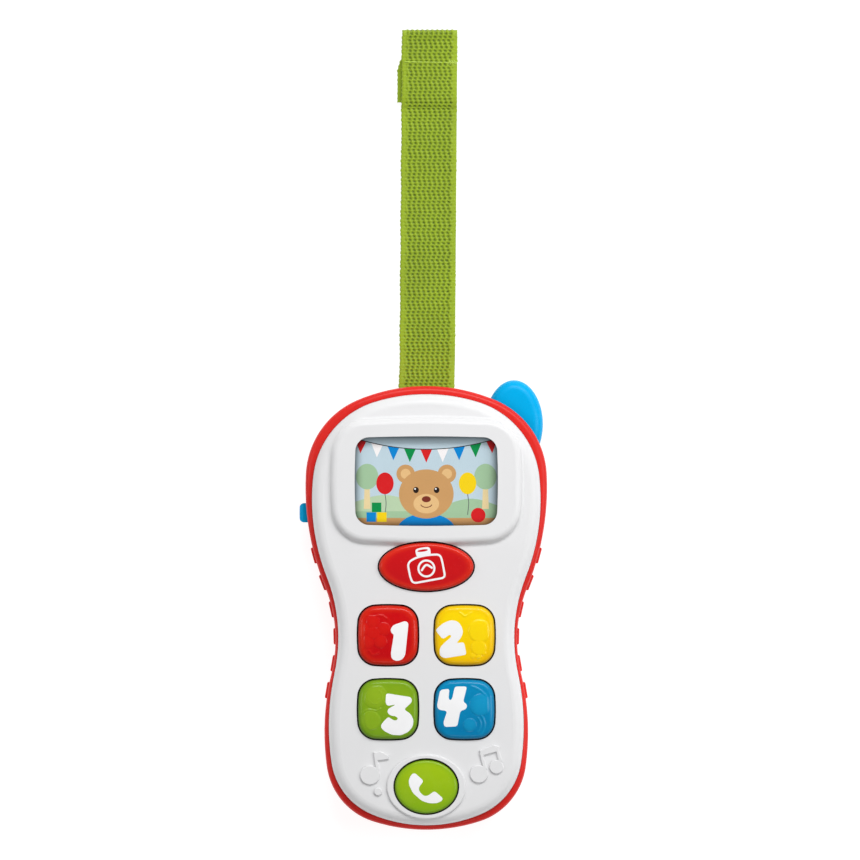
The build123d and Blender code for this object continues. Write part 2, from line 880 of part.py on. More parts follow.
export_step(camera_button.part, "parts/camera_button.step")

call_top_z = face_z(0, call_y) + call_rise
call_under_z = flange_z(0, call_y, call_w / 2 + flange_reach, call_tab_h / 2) - flange_t
with BuildPart() as call_button:
    with BuildSketch(Plane.XY.offset(call_under_z)):
        with Locations((0, call_y)):
            Ellipse(call_w / 2, call_h / 2)
    extrude(amount=call_top_z - call_under_z)
    fillet(call_button.faces().sort_by(Axis.Z)[-1].edges(), call_edge_r)
    with BuildSketch(Plane.XY.offset(call_under_z)):
        with Locations((0, call_y)):
            Rectangle(call_w + 2 * flange_reach, call_tab_h)
    extrude(amount=flange_t)
    with BuildSketch(Plane.XY.offset(call_under_z)):
        with Locations((0, call_y)):
            Ellipse(call_w / 2 - key_wall, call_h / 2 - key_wall)
    extrude(amount=call_top_z - call_edge_r - call_under_z, mode=Mode.SUBTRACT)
    boss(0, call_y, stem_r, stem_z, call_top_z - call_edge_r / 2)
call_button.part.label = "call_button"
export_step(call_button.part, "parts/call_button.step")


# --- Circuit board, keypad mat and what sits on the board ---------------------------------
with BuildPart() as circuit_board:
    with BuildSketch(Plane.XY.offset(board_z)):
        add(board_face)
        with Locations(*case_posts):
            Circle(boss_r + board_gap, mode=Mode.SUBTRACT)
        with Locations(*board_posts):
            Circle(board_screw_r + screw_hole_gap, mode=Mode.SUBTRACT)
    extrude(amount=board_t)
circuit_board.part.label = "circuit_board"
export_step(circuit_board.part, "parts/circuit_board.step")

with BuildPart() as keypad_mat:
    with BuildSketch(Plane.XY.offset(board_top_z)):
        with Locations((0, (mat_base_y + mat_top_y) / 2)):
            RectangleRounded(mat_w, mat_top_y - mat_base_y, mat_corner_r)
        add(board_face, mode=Mode.INTERSECT)
        with Locations(*(case_posts + board_posts)):
            Circle(boss_r + board_gap, mode=Mode.SUBTRACT)
    extrude(amount=mat_t)
    for x, y in key_places:
        with Locations((x, y, mat_z + dome_h / 2)):
            Cone(dome_base_r, dome_top_r, dome_h)
        with Locations((x, y, board_top_z + dome_h / 2)):
            Cone(dome_base_r - dome_wall, dome_top_r - dome_wall, dome_h, mode=Mode.SUBTRACT)
keypad_mat.part.label = "keypad_mat"
export_step(keypad_mat.part, "parts/keypad_mat.step")

with BuildPart() as sound_chip:
    with BuildSketch(Plane.XY.offset(board_z)):
        with Locations((0, chip_y)):
            Circle(chip_r)
    extrude(amount=-chip_h)
    fillet(sound_chip.edges().group_by(Axis.Z)[0], chip_edge_r)
sound_chip.part.label = "sound_chip"
export_step(sound_chip.part, "parts/sound_chip.step")

with BuildPart() as board_components:
    with Locations((0, chip_y, board_z)):
        with Locations(*[(x, y, -resistor_h / 2) for x, y in resistor_places]):
            Box(resistor_w, resistor_l, resistor_h)
        with Locations((*capacitor_at, -capacitor_h / 2)):
            Cylinder(capacitor_r, capacitor_h)
        with Locations((*wire_header_at, -wire_header_h / 2)):
            Box(wire_header_w, wire_header_l, wire_header_h)
board_components.part.label = "board_components"
export_step(board_components.part, "parts/board_components.step")

with BuildPart() as board_screws:
    for x, y in board_posts:
        boss(x, y, board_screw_head_r, board_z - board_screw_head_h, board_z)
        boss(x, y, board_screw_r, board_z, board_z + board_screw_length)
        with Locations((x, y, board_z - board_screw_head_h)):
            Box(2 * board_screw_r, board_screw_slot_w, 2 * board_screw_slot_deep, mode=Mode.SUBTRACT)
board_screws.part.label = "board_screws"
export_step(board_screws.part, "parts/board_screws.step")

with BuildPart() as case_screws:
    for x, y in case_posts:
        boss(x, y, screw_head_r, screw_seat_z - screw_head_h, screw_seat_z)
        boss(x, y, screw_r, screw_seat_z, screw_seat_z + screw_length)
        with Locations((x, y, screw_seat_z - screw_head_h)):
            Box(screw_slot_l, screw_slot_w, 2 * screw_slot_deep, mode=Mode.SUBTRACT)
            Box(screw_slot_w, screw_slot_l, 2 * screw_slot_deep, mode=Mode.SUBTRACT)
case_screws.part.label = "case_screws"
export_step(case_screws.part, "parts/case_screws.step")


# --- Side switch: electrical switch, its slider and the knob outside -----------------------
switch_middle_y = switch_y + switch_travel / 2
wall_x = half_width(cover_arcs, switch_y) - ledge_w
flange_x = wall_x - knob_flange_gap
knob_tip_x = half_width(case_arcs, switch_y) + knob_proud
can_x = flange_x - knob_flange_t - switch_can_gap - switch_can_w / 2
can_z = board_z - switch_can_h / 2

with BuildPart() as slide_switch:
    with Locations((-can_x, switch_middle_y, can_z)):
        Box(switch_can_w, switch_can_l, switch_can_h)
        Box(
            switch_can_w - 2 * switch_can_wall,
            switch_can_l - 2 * switch_can_wall,
            switch_can_h - 2 * switch_can_wall,
            mode=Mode.SUBTRACT,
        )
    with Locations((-can_x - switch_can_w / 2, switch_middle_y, can_z)):
        Box(
            3 * switch_can_wall,
            slider_w + switch_travel + 2 * slider_slot_end,
            slider_w + 2 * slider_slot_side,
            mode=Mode.SUBTRACT,
        )
slide_switch.part.label = "slide_switch"
export_step(slide_switch.part, "parts/slide_switch.step")

slider_tip_x = flange_x - slider_tip_gap
with BuildPart() as switch_slider:
    with Locations((-(slider_tip_x + can_x) / 2, switch_y, can_z)):
        Box(slider_tip_x - can_x, slider_w, slider_w)
    with Locations((-can_x, switch_y, can_z)):
        Box(slider_head_w, slider_head_l, slider_head_h)
switch_slider.part.label = "switch_slider"
export_step(switch_slider.part, "parts/switch_slider.step")

with BuildPart() as switch_knob:
    with Locations((-(knob_tip_x + flange_x) / 2, switch_y, knob_z)):
        Box(knob_tip_x - flange_x, knob_length, knob_height)
    fillet(switch_knob.faces().sort_by(Axis.X)[0].edges(), knob_edge_r)
    with Locations((-flange_x + knob_flange_t / 2, switch_y, knob_z)):
        Box(knob_flange_t, knob_length + 2 * knob_flange_reach, knob_height + 2 * knob_flange_reach)
    with Locations((-flange_x + knob_flange_t / 2, switch_y, can_z)):
        Box(
            knob_flange_t + 2 * knob_socket_deep,
            slider_w + 2 * slider_fit,
            slider_w + 2 * slider_fit,
            mode=Mode.SUBTRACT,
        )
switch_knob.part.label = "switch_knob"
export_step(switch_knob.part, "parts/switch_knob.step")


# --- Antenna, held by a flange inside the wall -----------------------------------------------
with BuildPart() as antenna_anchor:
    with BuildSketch(Plane.XY.offset(antenna_z + antenna_edge_r)):
        with Locations((antenna_x, antenna_y)):
            Ellipse(antenna_half_w + antenna_flange, antenna_half_h + antenna_flange)
    extrude(amount=antenna_t - 2 * antenna_edge_r)
    with BuildSketch(Plane.XY.offset(antenna_z)):
        add(outline_face(cover_arcs, ledge_w + antenna_fit))
    extrude(amount=antenna_t, mode=Mode.INTERSECT)

with BuildPart() as antenna:
    with BuildSketch(Plane.XY.offset(antenna_z)):
        with Locations((antenna_x, antenna_y)):
            Ellipse(antenna_half_w, antenna_half_h)
    extrude(amount=antenna_t)
    fillet(antenna.faces().filter_by(Axis.Z).edges(), antenna_edge_r)
    add(antenna_anchor.part)
antenna.part.label = "antenna"
export_step(antenna.part, "parts/antenna.step")


# --- Speaker --------------------------------------------------------------------------------
with BuildPart() as speaker_cloth:
    boss(0, speaker_y, speaker_r, floor_t, floor_t + cloth_t)
speaker_cloth.part.label = "speaker_cloth"
export_step(speaker_cloth.part, "parts/speaker_cloth.step")

cloth_top_z = floor_t + cloth_t
flange_top_z = cloth_top_z + speaker_flange_t
basket_r = speaker_r - basket_rim
basket_top_z = magnet_z - basket_top_t
with BuildPart() as speaker_frame:
    boss(0, speaker_y, speaker_r, cloth_top_z, flange_top_z)
    with Locations((0, speaker_y, (flange_top_z + magnet_z) / 2)):
        Cone(basket_r, speaker_neck_r, magnet_z - flange_top_z)
    with Locations((0, speaker_y, (cloth_top_z + basket_top_z) / 2)):
        Cone(
            basket_r - basket_wall,
            speaker_neck_r - basket_wall,
            basket_top_z - cloth_top_z,
            mode=Mode.SUBTRACT,
        )
speaker_frame.part.label = "speaker_frame"
export_step(speaker_frame.part, "parts/speaker_frame.step")

cone_base_z = floor_t + cone_lift
cone_neck_z = cone_base_z + cone_deep
cone_rim_in = cone_r - cone_rim_w
with BuildPart() as speaker_cone:
    with BuildSketch(Plane.XZ.offset(-speaker_y)):
        with BuildLine():
            Polyline(
                (0, cone_neck_z - cone_cap_drop),
                (cone_cap_r, cone_neck_z),
                (cone_rim_in, cone_base_z),
                (cone_r, cone_base_z),
                (cone_r, cone_base_z + cone_t),
                (cone_rim_in + cone_rim_lap, cone_base_z + cone_t),
                (cone_cap_r, cone_neck_z + cone_t),
                (0, cone_neck_z - cone_cap_drop + cone_t),
                close=True,
            )
        make_face()
    revolve(axis=Axis((0, speaker_y, 0), (0, 0, 1)))
speaker_cone.part.label = "speaker_cone"
export_step(speaker_cone.part, "parts/speaker_cone.step")

with BuildPart() as speaker_magnet:
    boss(0, speaker_y, magnet_r, magnet_z, magnet_z + magnet_h)
    fillet(speaker_magnet.edges().group_by(Axis.Z)[-1], magnet_edge_r)
speaker_magnet.part.label = "speaker_magnet"
export_step(speaker_magnet.part, "parts/speaker_magnet.step")


# --- Batteries, contacts and springs ----------------------------------------------------------
bay_top_y = bay_y + bay_half_l
bay_base_y = bay_y - bay_half_l
with BuildPart() as batteries:
    # The left cell points up and the right one points down
    for side in (-1, 1):
        body_y = bay_y + side * battery_cap_h / 2
        with Locations((side * battery_x, body_y, battery_z)):
            Cylinder(battery_r, battery_l - battery_cap_h, rotation=(90, 0, 0))
    fillet(batteries.edges().filter_by(GeomType.CIRCLE), battery_edge_r)
    for side in (-1, 1):
        with Locations((side * battery_x, bay_y - side * (battery_l - battery_cap_h) / 2, battery_z)):
            Cylinder(battery_cap_r, battery_cap_h, rotation=(90, 0, 0))
batteries.part.label = "batteries"
export_step(batteries.part, "parts/batteries.step")

with BuildPart() as contact_plates:
    with Locations((0, bay_base_y + contact_t / 2, battery_z)):
        Box(2 * battery_x + contact_w, contact_t, contact_w)
    with Locations(*[(side * battery_x, bay_top_y - contact_t / 2, battery_z) for side in (-1, 1)]):
        Box(contact_w, contact_t, contact_w)
contact_plates.part.label = "contact_plates"
export_step(contact_plates.part, "parts/contact_plates.step")

spring_length = contact_space - contact_t - spring_wire_r * 2
with BuildPart() as battery_springs:
    for side in (-1, 1):
        start_y = bay_y + side * (battery_l / 2 + spring_wire_r)
        turn = -90 * side
        coil = Helix(spring_length / spring_turns, spring_length, spring_r)
        coil = coil.moved(Location((side * battery_x, start_y, battery_z), (turn, 0, 0)))
        with BuildSketch(Plane(origin=coil @ 0, z_dir=coil % 0)):
            Circle(spring_wire_r)
        sweep(path=coil, is_frenet=True)
battery_springs.part.label = "battery_springs"
export_step(battery_springs.part, "parts/battery_springs.step")


# --- Battery door with its captive screw --------------------------------------------------------
with BuildPart() as battery_door:
    with Locations((0, (hinge_y + door_end_y) / 2, hinge_z)):
        Box(2 * door_half_w, door_end_y - hinge_y, door_t)
    with Locations((0, hinge_y, hinge_z)):
        Cylinder(door_t / 2, 2 * door_half_w, rotation=(0, 90, 0))
        Cylinder(
            hinge_pin_r,
            2 * (door_half_w + door_gap + hinge_pin_l - hinge_pin_end_gap),
            rotation=(0, 90, 0),
        )
    boss(0, door_screw_y, door_boss_r, hinge_z, door_top_z + door_boss_h)
    hole(0, door_screw_y, door_screw_head_r + hinge_fit, 0, 2 * door_sunk + door_screw_head_h)
    hole(0, door_screw_y, door_screw_r + hinge_fit, 0, door_top_z + door_boss_h)
    # Grip lines for a thumb
    for line in range(grip_lines):
        with Locations((0, bay_y + grip_pitch * (line - (grip_lines - 1) / 2), door_sunk)):
            Box(grip_w, grip_t, 2 * grip_deep, mode=Mode.SUBTRACT)
battery_door.part.label = "battery_door"
export_step(battery_door.part, "parts/battery_door.step")

with BuildPart() as door_screw:
    door_screw_head_z = 2 * door_sunk + door_screw_head_h - door_screw_head_gap
    boss(0, door_screw_y, door_screw_head_r, 2 * door_sunk, door_screw_head_z)
    boss(0, door_screw_y, door_screw_r, door_sunk + door_screw_head_h, door_screw_tip_z)
    with Locations((0, door_screw_y, 2 * door_sunk)):
        Box(door_slot_l, door_slot_w, 2 * door_slot_deep, mode=Mode.SUBTRACT)
        Box(door_slot_w, door_slot_l, 2 * door_slot_deep, mode=Mode.SUBTRACT)
door_screw.part.label = "door_screw"
export_step(door_screw.part, "parts/door_screw.step")

retainer_z = door_top_z + door_boss_h + retainer_gap
with BuildPart() as screw_retainer:
    boss(0, door_screw_y, retainer_r, retainer_z, retainer_z + retainer_t)
    hole(0, door_screw_y, door_screw_r, retainer_z, retainer_z + retainer_t)
screw_retainer.part.label = "screw_retainer"
export_step(screw_retainer.part, "parts/screw_retainer.step")


# --- Strap and its pin ----------------------------------------------------------------------------
with BuildPart() as strap_pin:
    with Locations((0, strap_pin_y, strap_pin_z)):
        Cylinder(strap_pin_r, 2 * (pocket_half_w + strap_pin_socket) - 0.4, rotation=(0, 90, 0))
strap_pin.part.label = "strap_pin"
export_step(strap_pin.part, "parts/strap_pin.step")

eye_r = strap_pin_r + strap_pin_gap
with BuildPart() as strap:
    with BuildSketch(Plane.YZ.offset(-strap_w / 2)):
        with BuildLine():
            FilletPolyline(
                (strap_pin_y, strap_pin_z - strap_layer_t),
                (strap_floor_y, 0),
                (strap_fold_y, 0),
                (strap_fold_y, 3 * strap_layer_t),
                (strap_tail_y, 3 * strap_layer_t),
                (strap_tail_y, strap_t),
                (strap_floor_y, strap_t),
                (strap_pin_y, strap_pin_z + strap_layer_t),
                radius=strap_layer_t / 4,
            )
            Line((strap_pin_y, strap_pin_z + strap_layer_t), (strap_pin_y, strap_pin_z - strap_layer_t))
        make_face()
        with Locations((strap_pin_y, strap_pin_z)):
            Circle(eye_r + strap_layer_t)
            Circle(eye_r, mode=Mode.SUBTRACT)
    extrude(amount=strap_w)
strap.part.label = "strap"
export_step(strap.part, "parts/strap.step")


# --- Wires: straight runs joined by tangent arcs -----------------------------------------------------
def bend_radii(points):
    """Radius of each corner of a wire's route, as large as its two runs allow."""
    radii = []
    for before, corner, after in zip(points, points[1:], points[2:]):
        run_in = Vector(*corner) - Vector(*before)
        run_out = Vector(*after) - Vector(*corner)
        turn = math.radians(run_in.get_angle(run_out))
        radii.append(0.45 * min(run_in.length, run_out.length) / math.tan(turn / 2))
    return radii


bay_wire_y = bay_top_y + bay_wall
wire_z = bay_z + wire_r
speaker_tag_z = magnet_z + magnet_h
speaker_wire_z = (speaker_tag_z + board_z) / 2 + 0.3
routes = {
    "battery_wire_red": [
        [(battery_x, bay_wire_y, wire_z), (battery_x, 2.5, wire_z), (battery_x, 2.5, board_z)]
    ],
    "battery_wire_black": [
        [(-battery_x, bay_wire_y, wire_z), (-battery_x, 1.5, wire_z), (-battery_x, 1.5, board_z)]
    ],
    "speaker_wires": [
        [
            (side * 2.0, speaker_y, speaker_tag_z),
            (side * 2.0, speaker_y, speaker_wire_z),
            (side * 2.8, 23.0, speaker_wire_z),
            (side * 2.8, 23.0, board_z),
        ]
        for side in (-1, 1)
    ],
}
for name, runs in routes.items():
    with BuildPart() as wire:
        for points in runs:
            radii = bend_radii(points)
            with BuildLine() as route:
                FilletPolyline(*points, radius=radii)
            with BuildSketch(Plane(origin=route.line @ 0, z_dir=route.line % 0)):
                Circle(wire_r)
            sweep(path=route.line)
            print(name, "radii", [round(radius, 1) for radius in radii])
    wire.part.label = name
    export_step(wire.part, f"parts/{name}.step")
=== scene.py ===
import math

import bmesh
import bpy
import numpy as np
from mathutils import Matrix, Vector, geometry


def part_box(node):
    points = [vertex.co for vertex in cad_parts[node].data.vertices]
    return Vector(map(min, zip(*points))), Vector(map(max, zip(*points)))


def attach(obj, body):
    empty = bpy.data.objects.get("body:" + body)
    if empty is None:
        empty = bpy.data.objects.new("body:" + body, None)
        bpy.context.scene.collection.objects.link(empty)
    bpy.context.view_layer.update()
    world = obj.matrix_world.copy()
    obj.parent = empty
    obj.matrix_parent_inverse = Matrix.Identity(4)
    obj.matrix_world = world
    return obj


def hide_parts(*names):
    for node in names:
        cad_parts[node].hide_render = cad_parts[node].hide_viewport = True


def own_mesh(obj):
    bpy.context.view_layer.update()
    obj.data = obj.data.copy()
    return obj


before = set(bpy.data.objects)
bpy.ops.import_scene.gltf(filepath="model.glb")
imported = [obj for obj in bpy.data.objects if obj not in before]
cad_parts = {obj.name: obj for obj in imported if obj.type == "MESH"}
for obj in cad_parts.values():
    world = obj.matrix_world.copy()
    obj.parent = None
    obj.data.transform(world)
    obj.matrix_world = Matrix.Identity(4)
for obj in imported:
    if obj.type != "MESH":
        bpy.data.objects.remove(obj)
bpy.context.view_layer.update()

MM = 0.001
SPAN = 309.6  # width of the picture on the ground, mm
AIM = (1.33, 63.7)  # point in the middle of the picture, mm
CAMERA_HEIGHT = 5.0  # m
SENSOR = 36.0  # width of the camera's sensor, mm
FLOOR_HALF, FLOOR_Z = 6.0, -0.0002  # m; the floor lies a hair below the toy

scene = bpy.context.scene
rng = np.random.default_rng(7)


# --- Small tools ------------------------------------------------------------------------
def place(node):
    """Lowest and highest corner of a CAD node, in mm."""
    lo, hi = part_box(node)
    return np.array(lo) / MM, np.array(hi) / MM


def middle(node):
    lo, hi = place(node)
    return (lo + hi) / 2


def srgb(*rgb):
    """Linear colour of an 8-bit one."""
    return tuple(c / 12.92 if c <= 0.04045 else ((c + 0.055) / 1.055) ** 2.4 for c in (v / 255 for v in rgb))


def shade(colour, factor):
    return tuple(min(1.0, c * factor) for c in colour)


def link(tree, source, target):
    tree.links.new(source, target)


def make_node(tree, kind, values=None, **settings):
    n = tree.nodes.new(kind)
    for key, value in settings.items():
        setattr(n, key, value)
    for key, value in (values or {}).items():
        n.inputs[key].default_value = value
    return n


def mix(tree, factor, a, b, mode="MIX"):
    """Mixes two colours, each a socket or a value."""
    n = make_node(tree, "ShaderNodeMix", data_type="RGBA", blend_type=mode)
    for socket, value in ((n.inputs[0], factor), (n.inputs[6], a), (n.inputs[7], b)):
        if isinstance(value, bpy.types.NodeSocket):
            link(tree, value, socket)
        elif isinstance(value, tuple):
            socket.default_value = (*value, 1.0)
        else:
            socket.default_value = value
    return n.outputs[2]


def remap(tree, source, low, high, new_low, new_high):
    n = make_node(tree, "ShaderNodeMapRange")
    link(tree, source, n.inputs["Value"])
    for key, value in (("From Min", low), ("From Max", high), ("To Min", new_low), ("To Max", new_high)):
        n.inputs[key].default_value = value
    return n.outputs["Result"]


def noise_value(tree, coords, scale, detail=3.0, rough=0.55):
    n = make_node(tree, "ShaderNodeTexNoise", {"Scale": scale, "Detail": detail, "Roughness": rough})
    link(tree, coords, n.inputs["Vector"])
    return n.outputs["Fac"]


def attribute(tree, name):
    return make_node(tree, "ShaderNodeAttribute", attribute_name=name).outputs["Fac"]


def surface(name, colour, rough, vary=0.05, patch=45.0, grain=0.00001, grain_scale=1800.0,
            paint=None, bump=None, glow=0.0, **sockets):
    """Material with uneven colour, gloss and grain. paint(tree, colour socket, coordinates) returns the
    colour to use, bump(tree, coordinates) a coarser relief as (height socket, distance), and glow is how
    strongly the surface gives off its own colour."""
    material = bpy.data.materials.new(name)
    material.use_nodes = True
    tree = material.node_tree
    shader = tree.nodes["Principled BSDF"]
    coords = make_node(tree, "ShaderNodeTexCoord").outputs["Object"]
    wide = remap(tree, noise_value(tree, coords, patch), 0.3, 0.7, 0.0, 1.0)
    base = mix(tree, wide, shade(colour, 1 - vary), shade(colour, 1 + vary))
    if paint:
        base = paint(tree, base, coords)
    link(tree, base, shader.inputs["Base Color"])
    if glow:
        link(tree, base, shader.inputs["Emission Color"])
        shader.inputs["Emission Strength"].default_value = glow
    fine = noise_value(tree, coords, patch * 9, 4.0)
    link(tree, remap(tree, fine, 0.3, 0.7, rough * 0.82, rough * 1.18), shader.inputs["Roughness"])
    height = make_node(tree, "ShaderNodeBump", {"Strength": 1.0, "Distance": grain})
    link(tree, noise_value(tree, coords, grain_scale, 2.0), height.inputs["Height"])
    if bump:
        source, distance = bump(tree, coords)
        coarse = make_node(tree, "ShaderNodeBump", {"Strength": 1.0, "Distance": distance})
        link(tree, source, coarse.inputs["Height"])
        link(tree, coarse.outputs["Normal"], height.inputs["Normal"])
    link(tree, height.outputs["Normal"], shader.inputs["Normal"])
    for key, value in sockets.items():
        shader.inputs[key.replace("_", " ")].default_value = value
    return material


def finish_mesh(mesh, sharp=38.0):
    mesh.update()
    mesh.polygons.foreach_set("use_smooth", [True] * len(mesh.polygons))
    mesh.set_sharp_from_angle(angle=math.radians(sharp))


def piece(name, points, faces, body, slot, material, stands_for=(), sharp=38.0, values=None):
    """New object from points in mm, riding on a body. values are float attributes of its points."""
    mesh = bpy.data.meshes.new(name)
    mesh.from_pydata([tuple(p) for p in np.asarray(points, float) * MM], [], faces)
    made = bpy.data.objects.new(name, mesh)
    scene.collection.objects.link(made)
    flip = bmesh.new()
    flip.from_mesh(mesh)
    bmesh.ops.recalc_face_normals(flip, faces=flip.faces)
    flip.to_mesh(mesh)
    flip.free()
    for key, numbers in (values or {}).items():
        held = mesh.attributes.new(key, "FLOAT", "POINT")
        held.data.foreach_set("value", np.asarray(numbers, np.float32))
    finish_mesh(mesh, sharp)
    mesh.materials.append(material)
    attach(made, body)
    if stands_for:
        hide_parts(*stands_for)
    return made


def strip_faces(count, rings, closed=True):
    """Quads between rings of count points each."""
    around = count if closed else count - 1
    i = np.arange(rings - 1)[:, None] * count
    j = np.arange(around)[None, :]
    k = (j + 1) % count
    quads = np.stack([i + j, i + k, i + count + k, i + count + j], axis=-1).reshape(-1, 4)
    return quads.tolist()


def tube_between(rings, start_pole, end_pole):
    """Points and faces of a closed skin: a pole, rings of equal count, and a pole."""
    count = len(rings[0])
    points = [start_pole] + [p for ring in rings for p in ring] + [end_pole]
    faces = [[a + 1 for a in quad] for quad in strip_faces(count, len(rings))]
    last = 1 + count * (len(rings) - 1)
    for j in range(count):
        k = (j + 1) % count
        faces.append([0, 1 + k, 1 + j])
        faces.append([len(points) - 1, last + j, last + k])
    return points, faces


# --- Outlines in the plane ---------------------------------------------------------------
def rounded(points, radius, steps=7):
    """Closed outline whose corners are softened as far as radius and their runs allow."""
    points = np.asarray(points, float)
    line = []
    for i, corner in enumerate(points):
        before, after = points[i - 1], points[(i + 1) % len(points)]
        run_in, run_out = np.linalg.norm(before - corner), np.linalg.norm(after - corner)
        start = corner + (before - corner) * min(0.5, radius / run_in)
        end = corner + (after - corner) * min(0.5, radius / run_out)
        for t in np.linspace(0, 1, steps):
            line.append((1 - t) ** 2 * start + 2 * t * (1 - t) * corner + t**2 * end)
    line = np.array(line)
    keep = np.linalg.norm(line - np.roll(line, 1, axis=0), axis=1) > 1e-4
    return line[keep]


def oval(x, y, rx, ry, lean=0.0, count=48):
    a = np.linspace(0, 2 * math.pi, count, endpoint=False)
    c, s = math.cos(math.radians(lean)), math.sin(math.radians(lean))
    px, py = rx * np.cos(a), ry * np.sin(a)
    return np.stack([x + px * c - py * s, y + px * s + py * c], axis=1)


def smooth_line(points, step):
    """Even points on a smooth open curve through the given ones."""
    p = np.asarray(points, float)
    p = np.vstack([2 * p[0] - p[1], p, 2 * p[-1] - p[-2]])
    dense = []
    for i in range(1, len(p) - 2):
        for t in np.linspace(0, 1, 40, endpoint=False):
            a, b, c, d = p[i - 1], p[i], p[i + 1], p[i + 2]
            dense.append(0.5 * (2 * b + (c - a) * t + (2 * a - 5 * b + 4 * c - d) * t**2
                                + (3 * b - a - 3 * c + d) * t**3))
    dense.append(p[-2])
    dense = np.array(dense)
    length = np.concatenate([[0], np.cumsum(np.linalg.norm(np.diff(dense, axis=0), axis=1))])
    count = max(2, int(round(length[-1] / step)) + 1)
    at = np.linspace(0, length[-1], count)
    return np.stack([np.interp(at, length, dense[:, k]) for k in range(p.shape[1])], axis=1)


def stroke(points, width, step=0.25):
    """Outline of a pen line with round ends."""
    line = smooth_line(points, step)
    ahead = np.gradient(line, axis=0)
    ahead /= np.linalg.norm(ahead, axis=1)[:, None]
    aside = np.stack([-ahead[:, 1], ahead[:, 0]], axis=1) * width / 2

    def cap(centre, forward):
        base = math.atan2(forward[1], forward[0])
        angles = [base + math.radians(turn) for turn in np.linspace(-90, 90, 8)[1:-1]]
        return [centre + width / 2 * np.array([math.cos(a), math.sin(a)]) for a in angles]

    right, left = line - aside, (line + aside)[::-1]
    return np.vstack([right, cap(line[-1], ahead[-1]), left, cap(line[0], -ahead[0])])


def ring_band(points, width):
    """Outer and inner outline of a closed pen line."""
    p = np.asarray(points, float)
    ahead = np.roll(p, -1, axis=0) - np.roll(p, 1, axis=0)
    ahead /= np.linalg.norm(ahead, axis=1)[:, None]
    aside = np.stack([ahead[:, 1], -ahead[:, 0]], axis=1) * width / 2
    return [p + aside, p - aside]


def divided(loop, step):
    """The same outline with points no further apart than step."""
    line = []
    for a, b in zip(loop, np.roll(loop, -1, axis=0)):
        count = max(1, math.ceil(np.linalg.norm(b - a) / step))
        line += [a + (b - a) * k / count for k in range(count)]
    return np.array(line)


def inside(x, y, loops):
    """True where a place lies inside an odd number of loops."""
    odd = np.zeros(len(x), bool)
    for loop in loops:
        ax, ay = loop[:, 0], loop[:, 1]
        bx, by = np.roll(ax, -1), np.roll(ay, -1)
        for i in range(len(ax)):
            crosses = (ay[i] > y) != (by[i] > y)
            if ay[i] != by[i]:
                odd ^= crosses & (x < (bx[i] - ax[i]) * (y - ay[i]) / (by[i] - ay[i]) + ax[i])
    return odd


def decal(name, loops, height, body, slot, material, lift=0.03, thick=0.1, step=0.6, **more):
    """Thin printed shape that follows a surface: height(x, y) gives its z in mm, and step is the size
    of its triangles, or 0 for the fewest."""
    if step:
        loops = [divided(loop, step) for loop in loops]
    verts, edges = [], []
    for loop in loops:
        start = len(verts)
        verts += [tuple(p) for p in loop]
        edges += [(start + i, start + (i + 1) % len(loop)) for i in range(len(loop))]
    outer = np.vstack(loops)
    lo, hi = outer.min(0), outer.max(0)
    if step:
        gx, gy = (g.ravel() for g in np.meshgrid(np.arange(lo[0] + step / 2, hi[0], step),
                                                 np.arange(lo[1] + step / 2, hi[1], step)))
        held = inside(gx, gy, loops)
        verts += list(zip(gx[held], gy[held]))
    found = geometry.delaunay_2d_cdt([Vector(v) for v in verts], edges, [], 0, 1e-5)
    flat = np.array([tuple(v) for v in found[0]])
    triangles = np.array(found[2])
    centre = flat[triangles].mean(axis=1)
    triangles = triangles[inside(centre[:, 0], centre[:, 1], loops)]
    used = np.unique(triangles)
    renumber = np.full(len(flat), -1)
    renumber[used] = np.arange(len(used))
    flat, triangles = flat[used], renumber[triangles]
    z = height(flat[:, 0], flat[:, 1])
    top = np.column_stack([flat, z + lift])
    base = np.column_stack([flat, z + lift - thick])
    count = len(flat)
    faces = triangles.tolist() + (triangles[:, ::-1] + count).tolist()
    sides = {}
    for tri in triangles.tolist():
        for a, b in zip(tri, tri[1:] + tri[:1]):
            sides[(a, b)] = (b, a) not in sides
            if (b, a) in sides:
                sides[(b, a)] = False
    faces += [[b, a, a + count, b + count] for (a, b), alone in sides.items() if alone]
    return piece(name, np.vstack([top, base]), faces, body, slot, material, **more)


# --- Materials ---------------------------------------------------------------------------
def calc(tree, operation, a, b=None):
    """Result of one sum on sockets or numbers."""
    n = make_node(tree, "ShaderNodeMath", operation=operation)
    for socket, value in zip(n.inputs, (a, b)):
        if isinstance(value, bpy.types.NodeSocket):
            link(tree, value, socket)
        elif value is not None:
            socket.default_value = value
    return n.outputs[0]


def finger_marks(tree, base, coords):
    """Faint darker patches where the plastic has been handled."""
    marks = remap(tree, noise_value(tree, coords, 14.0, 3.0, 0.5), 0.45, 0.75, 0.0, 0.03)
    return mix(tree, marks, base, (0.6, 0.6, 0.61), "MULTIPLY")


RED = srgb(222, 40, 34)
WHITE = srgb(230, 230, 231)
PRINT = srgb(246, 246, 247)
BLUE = srgb(0, 172, 232)

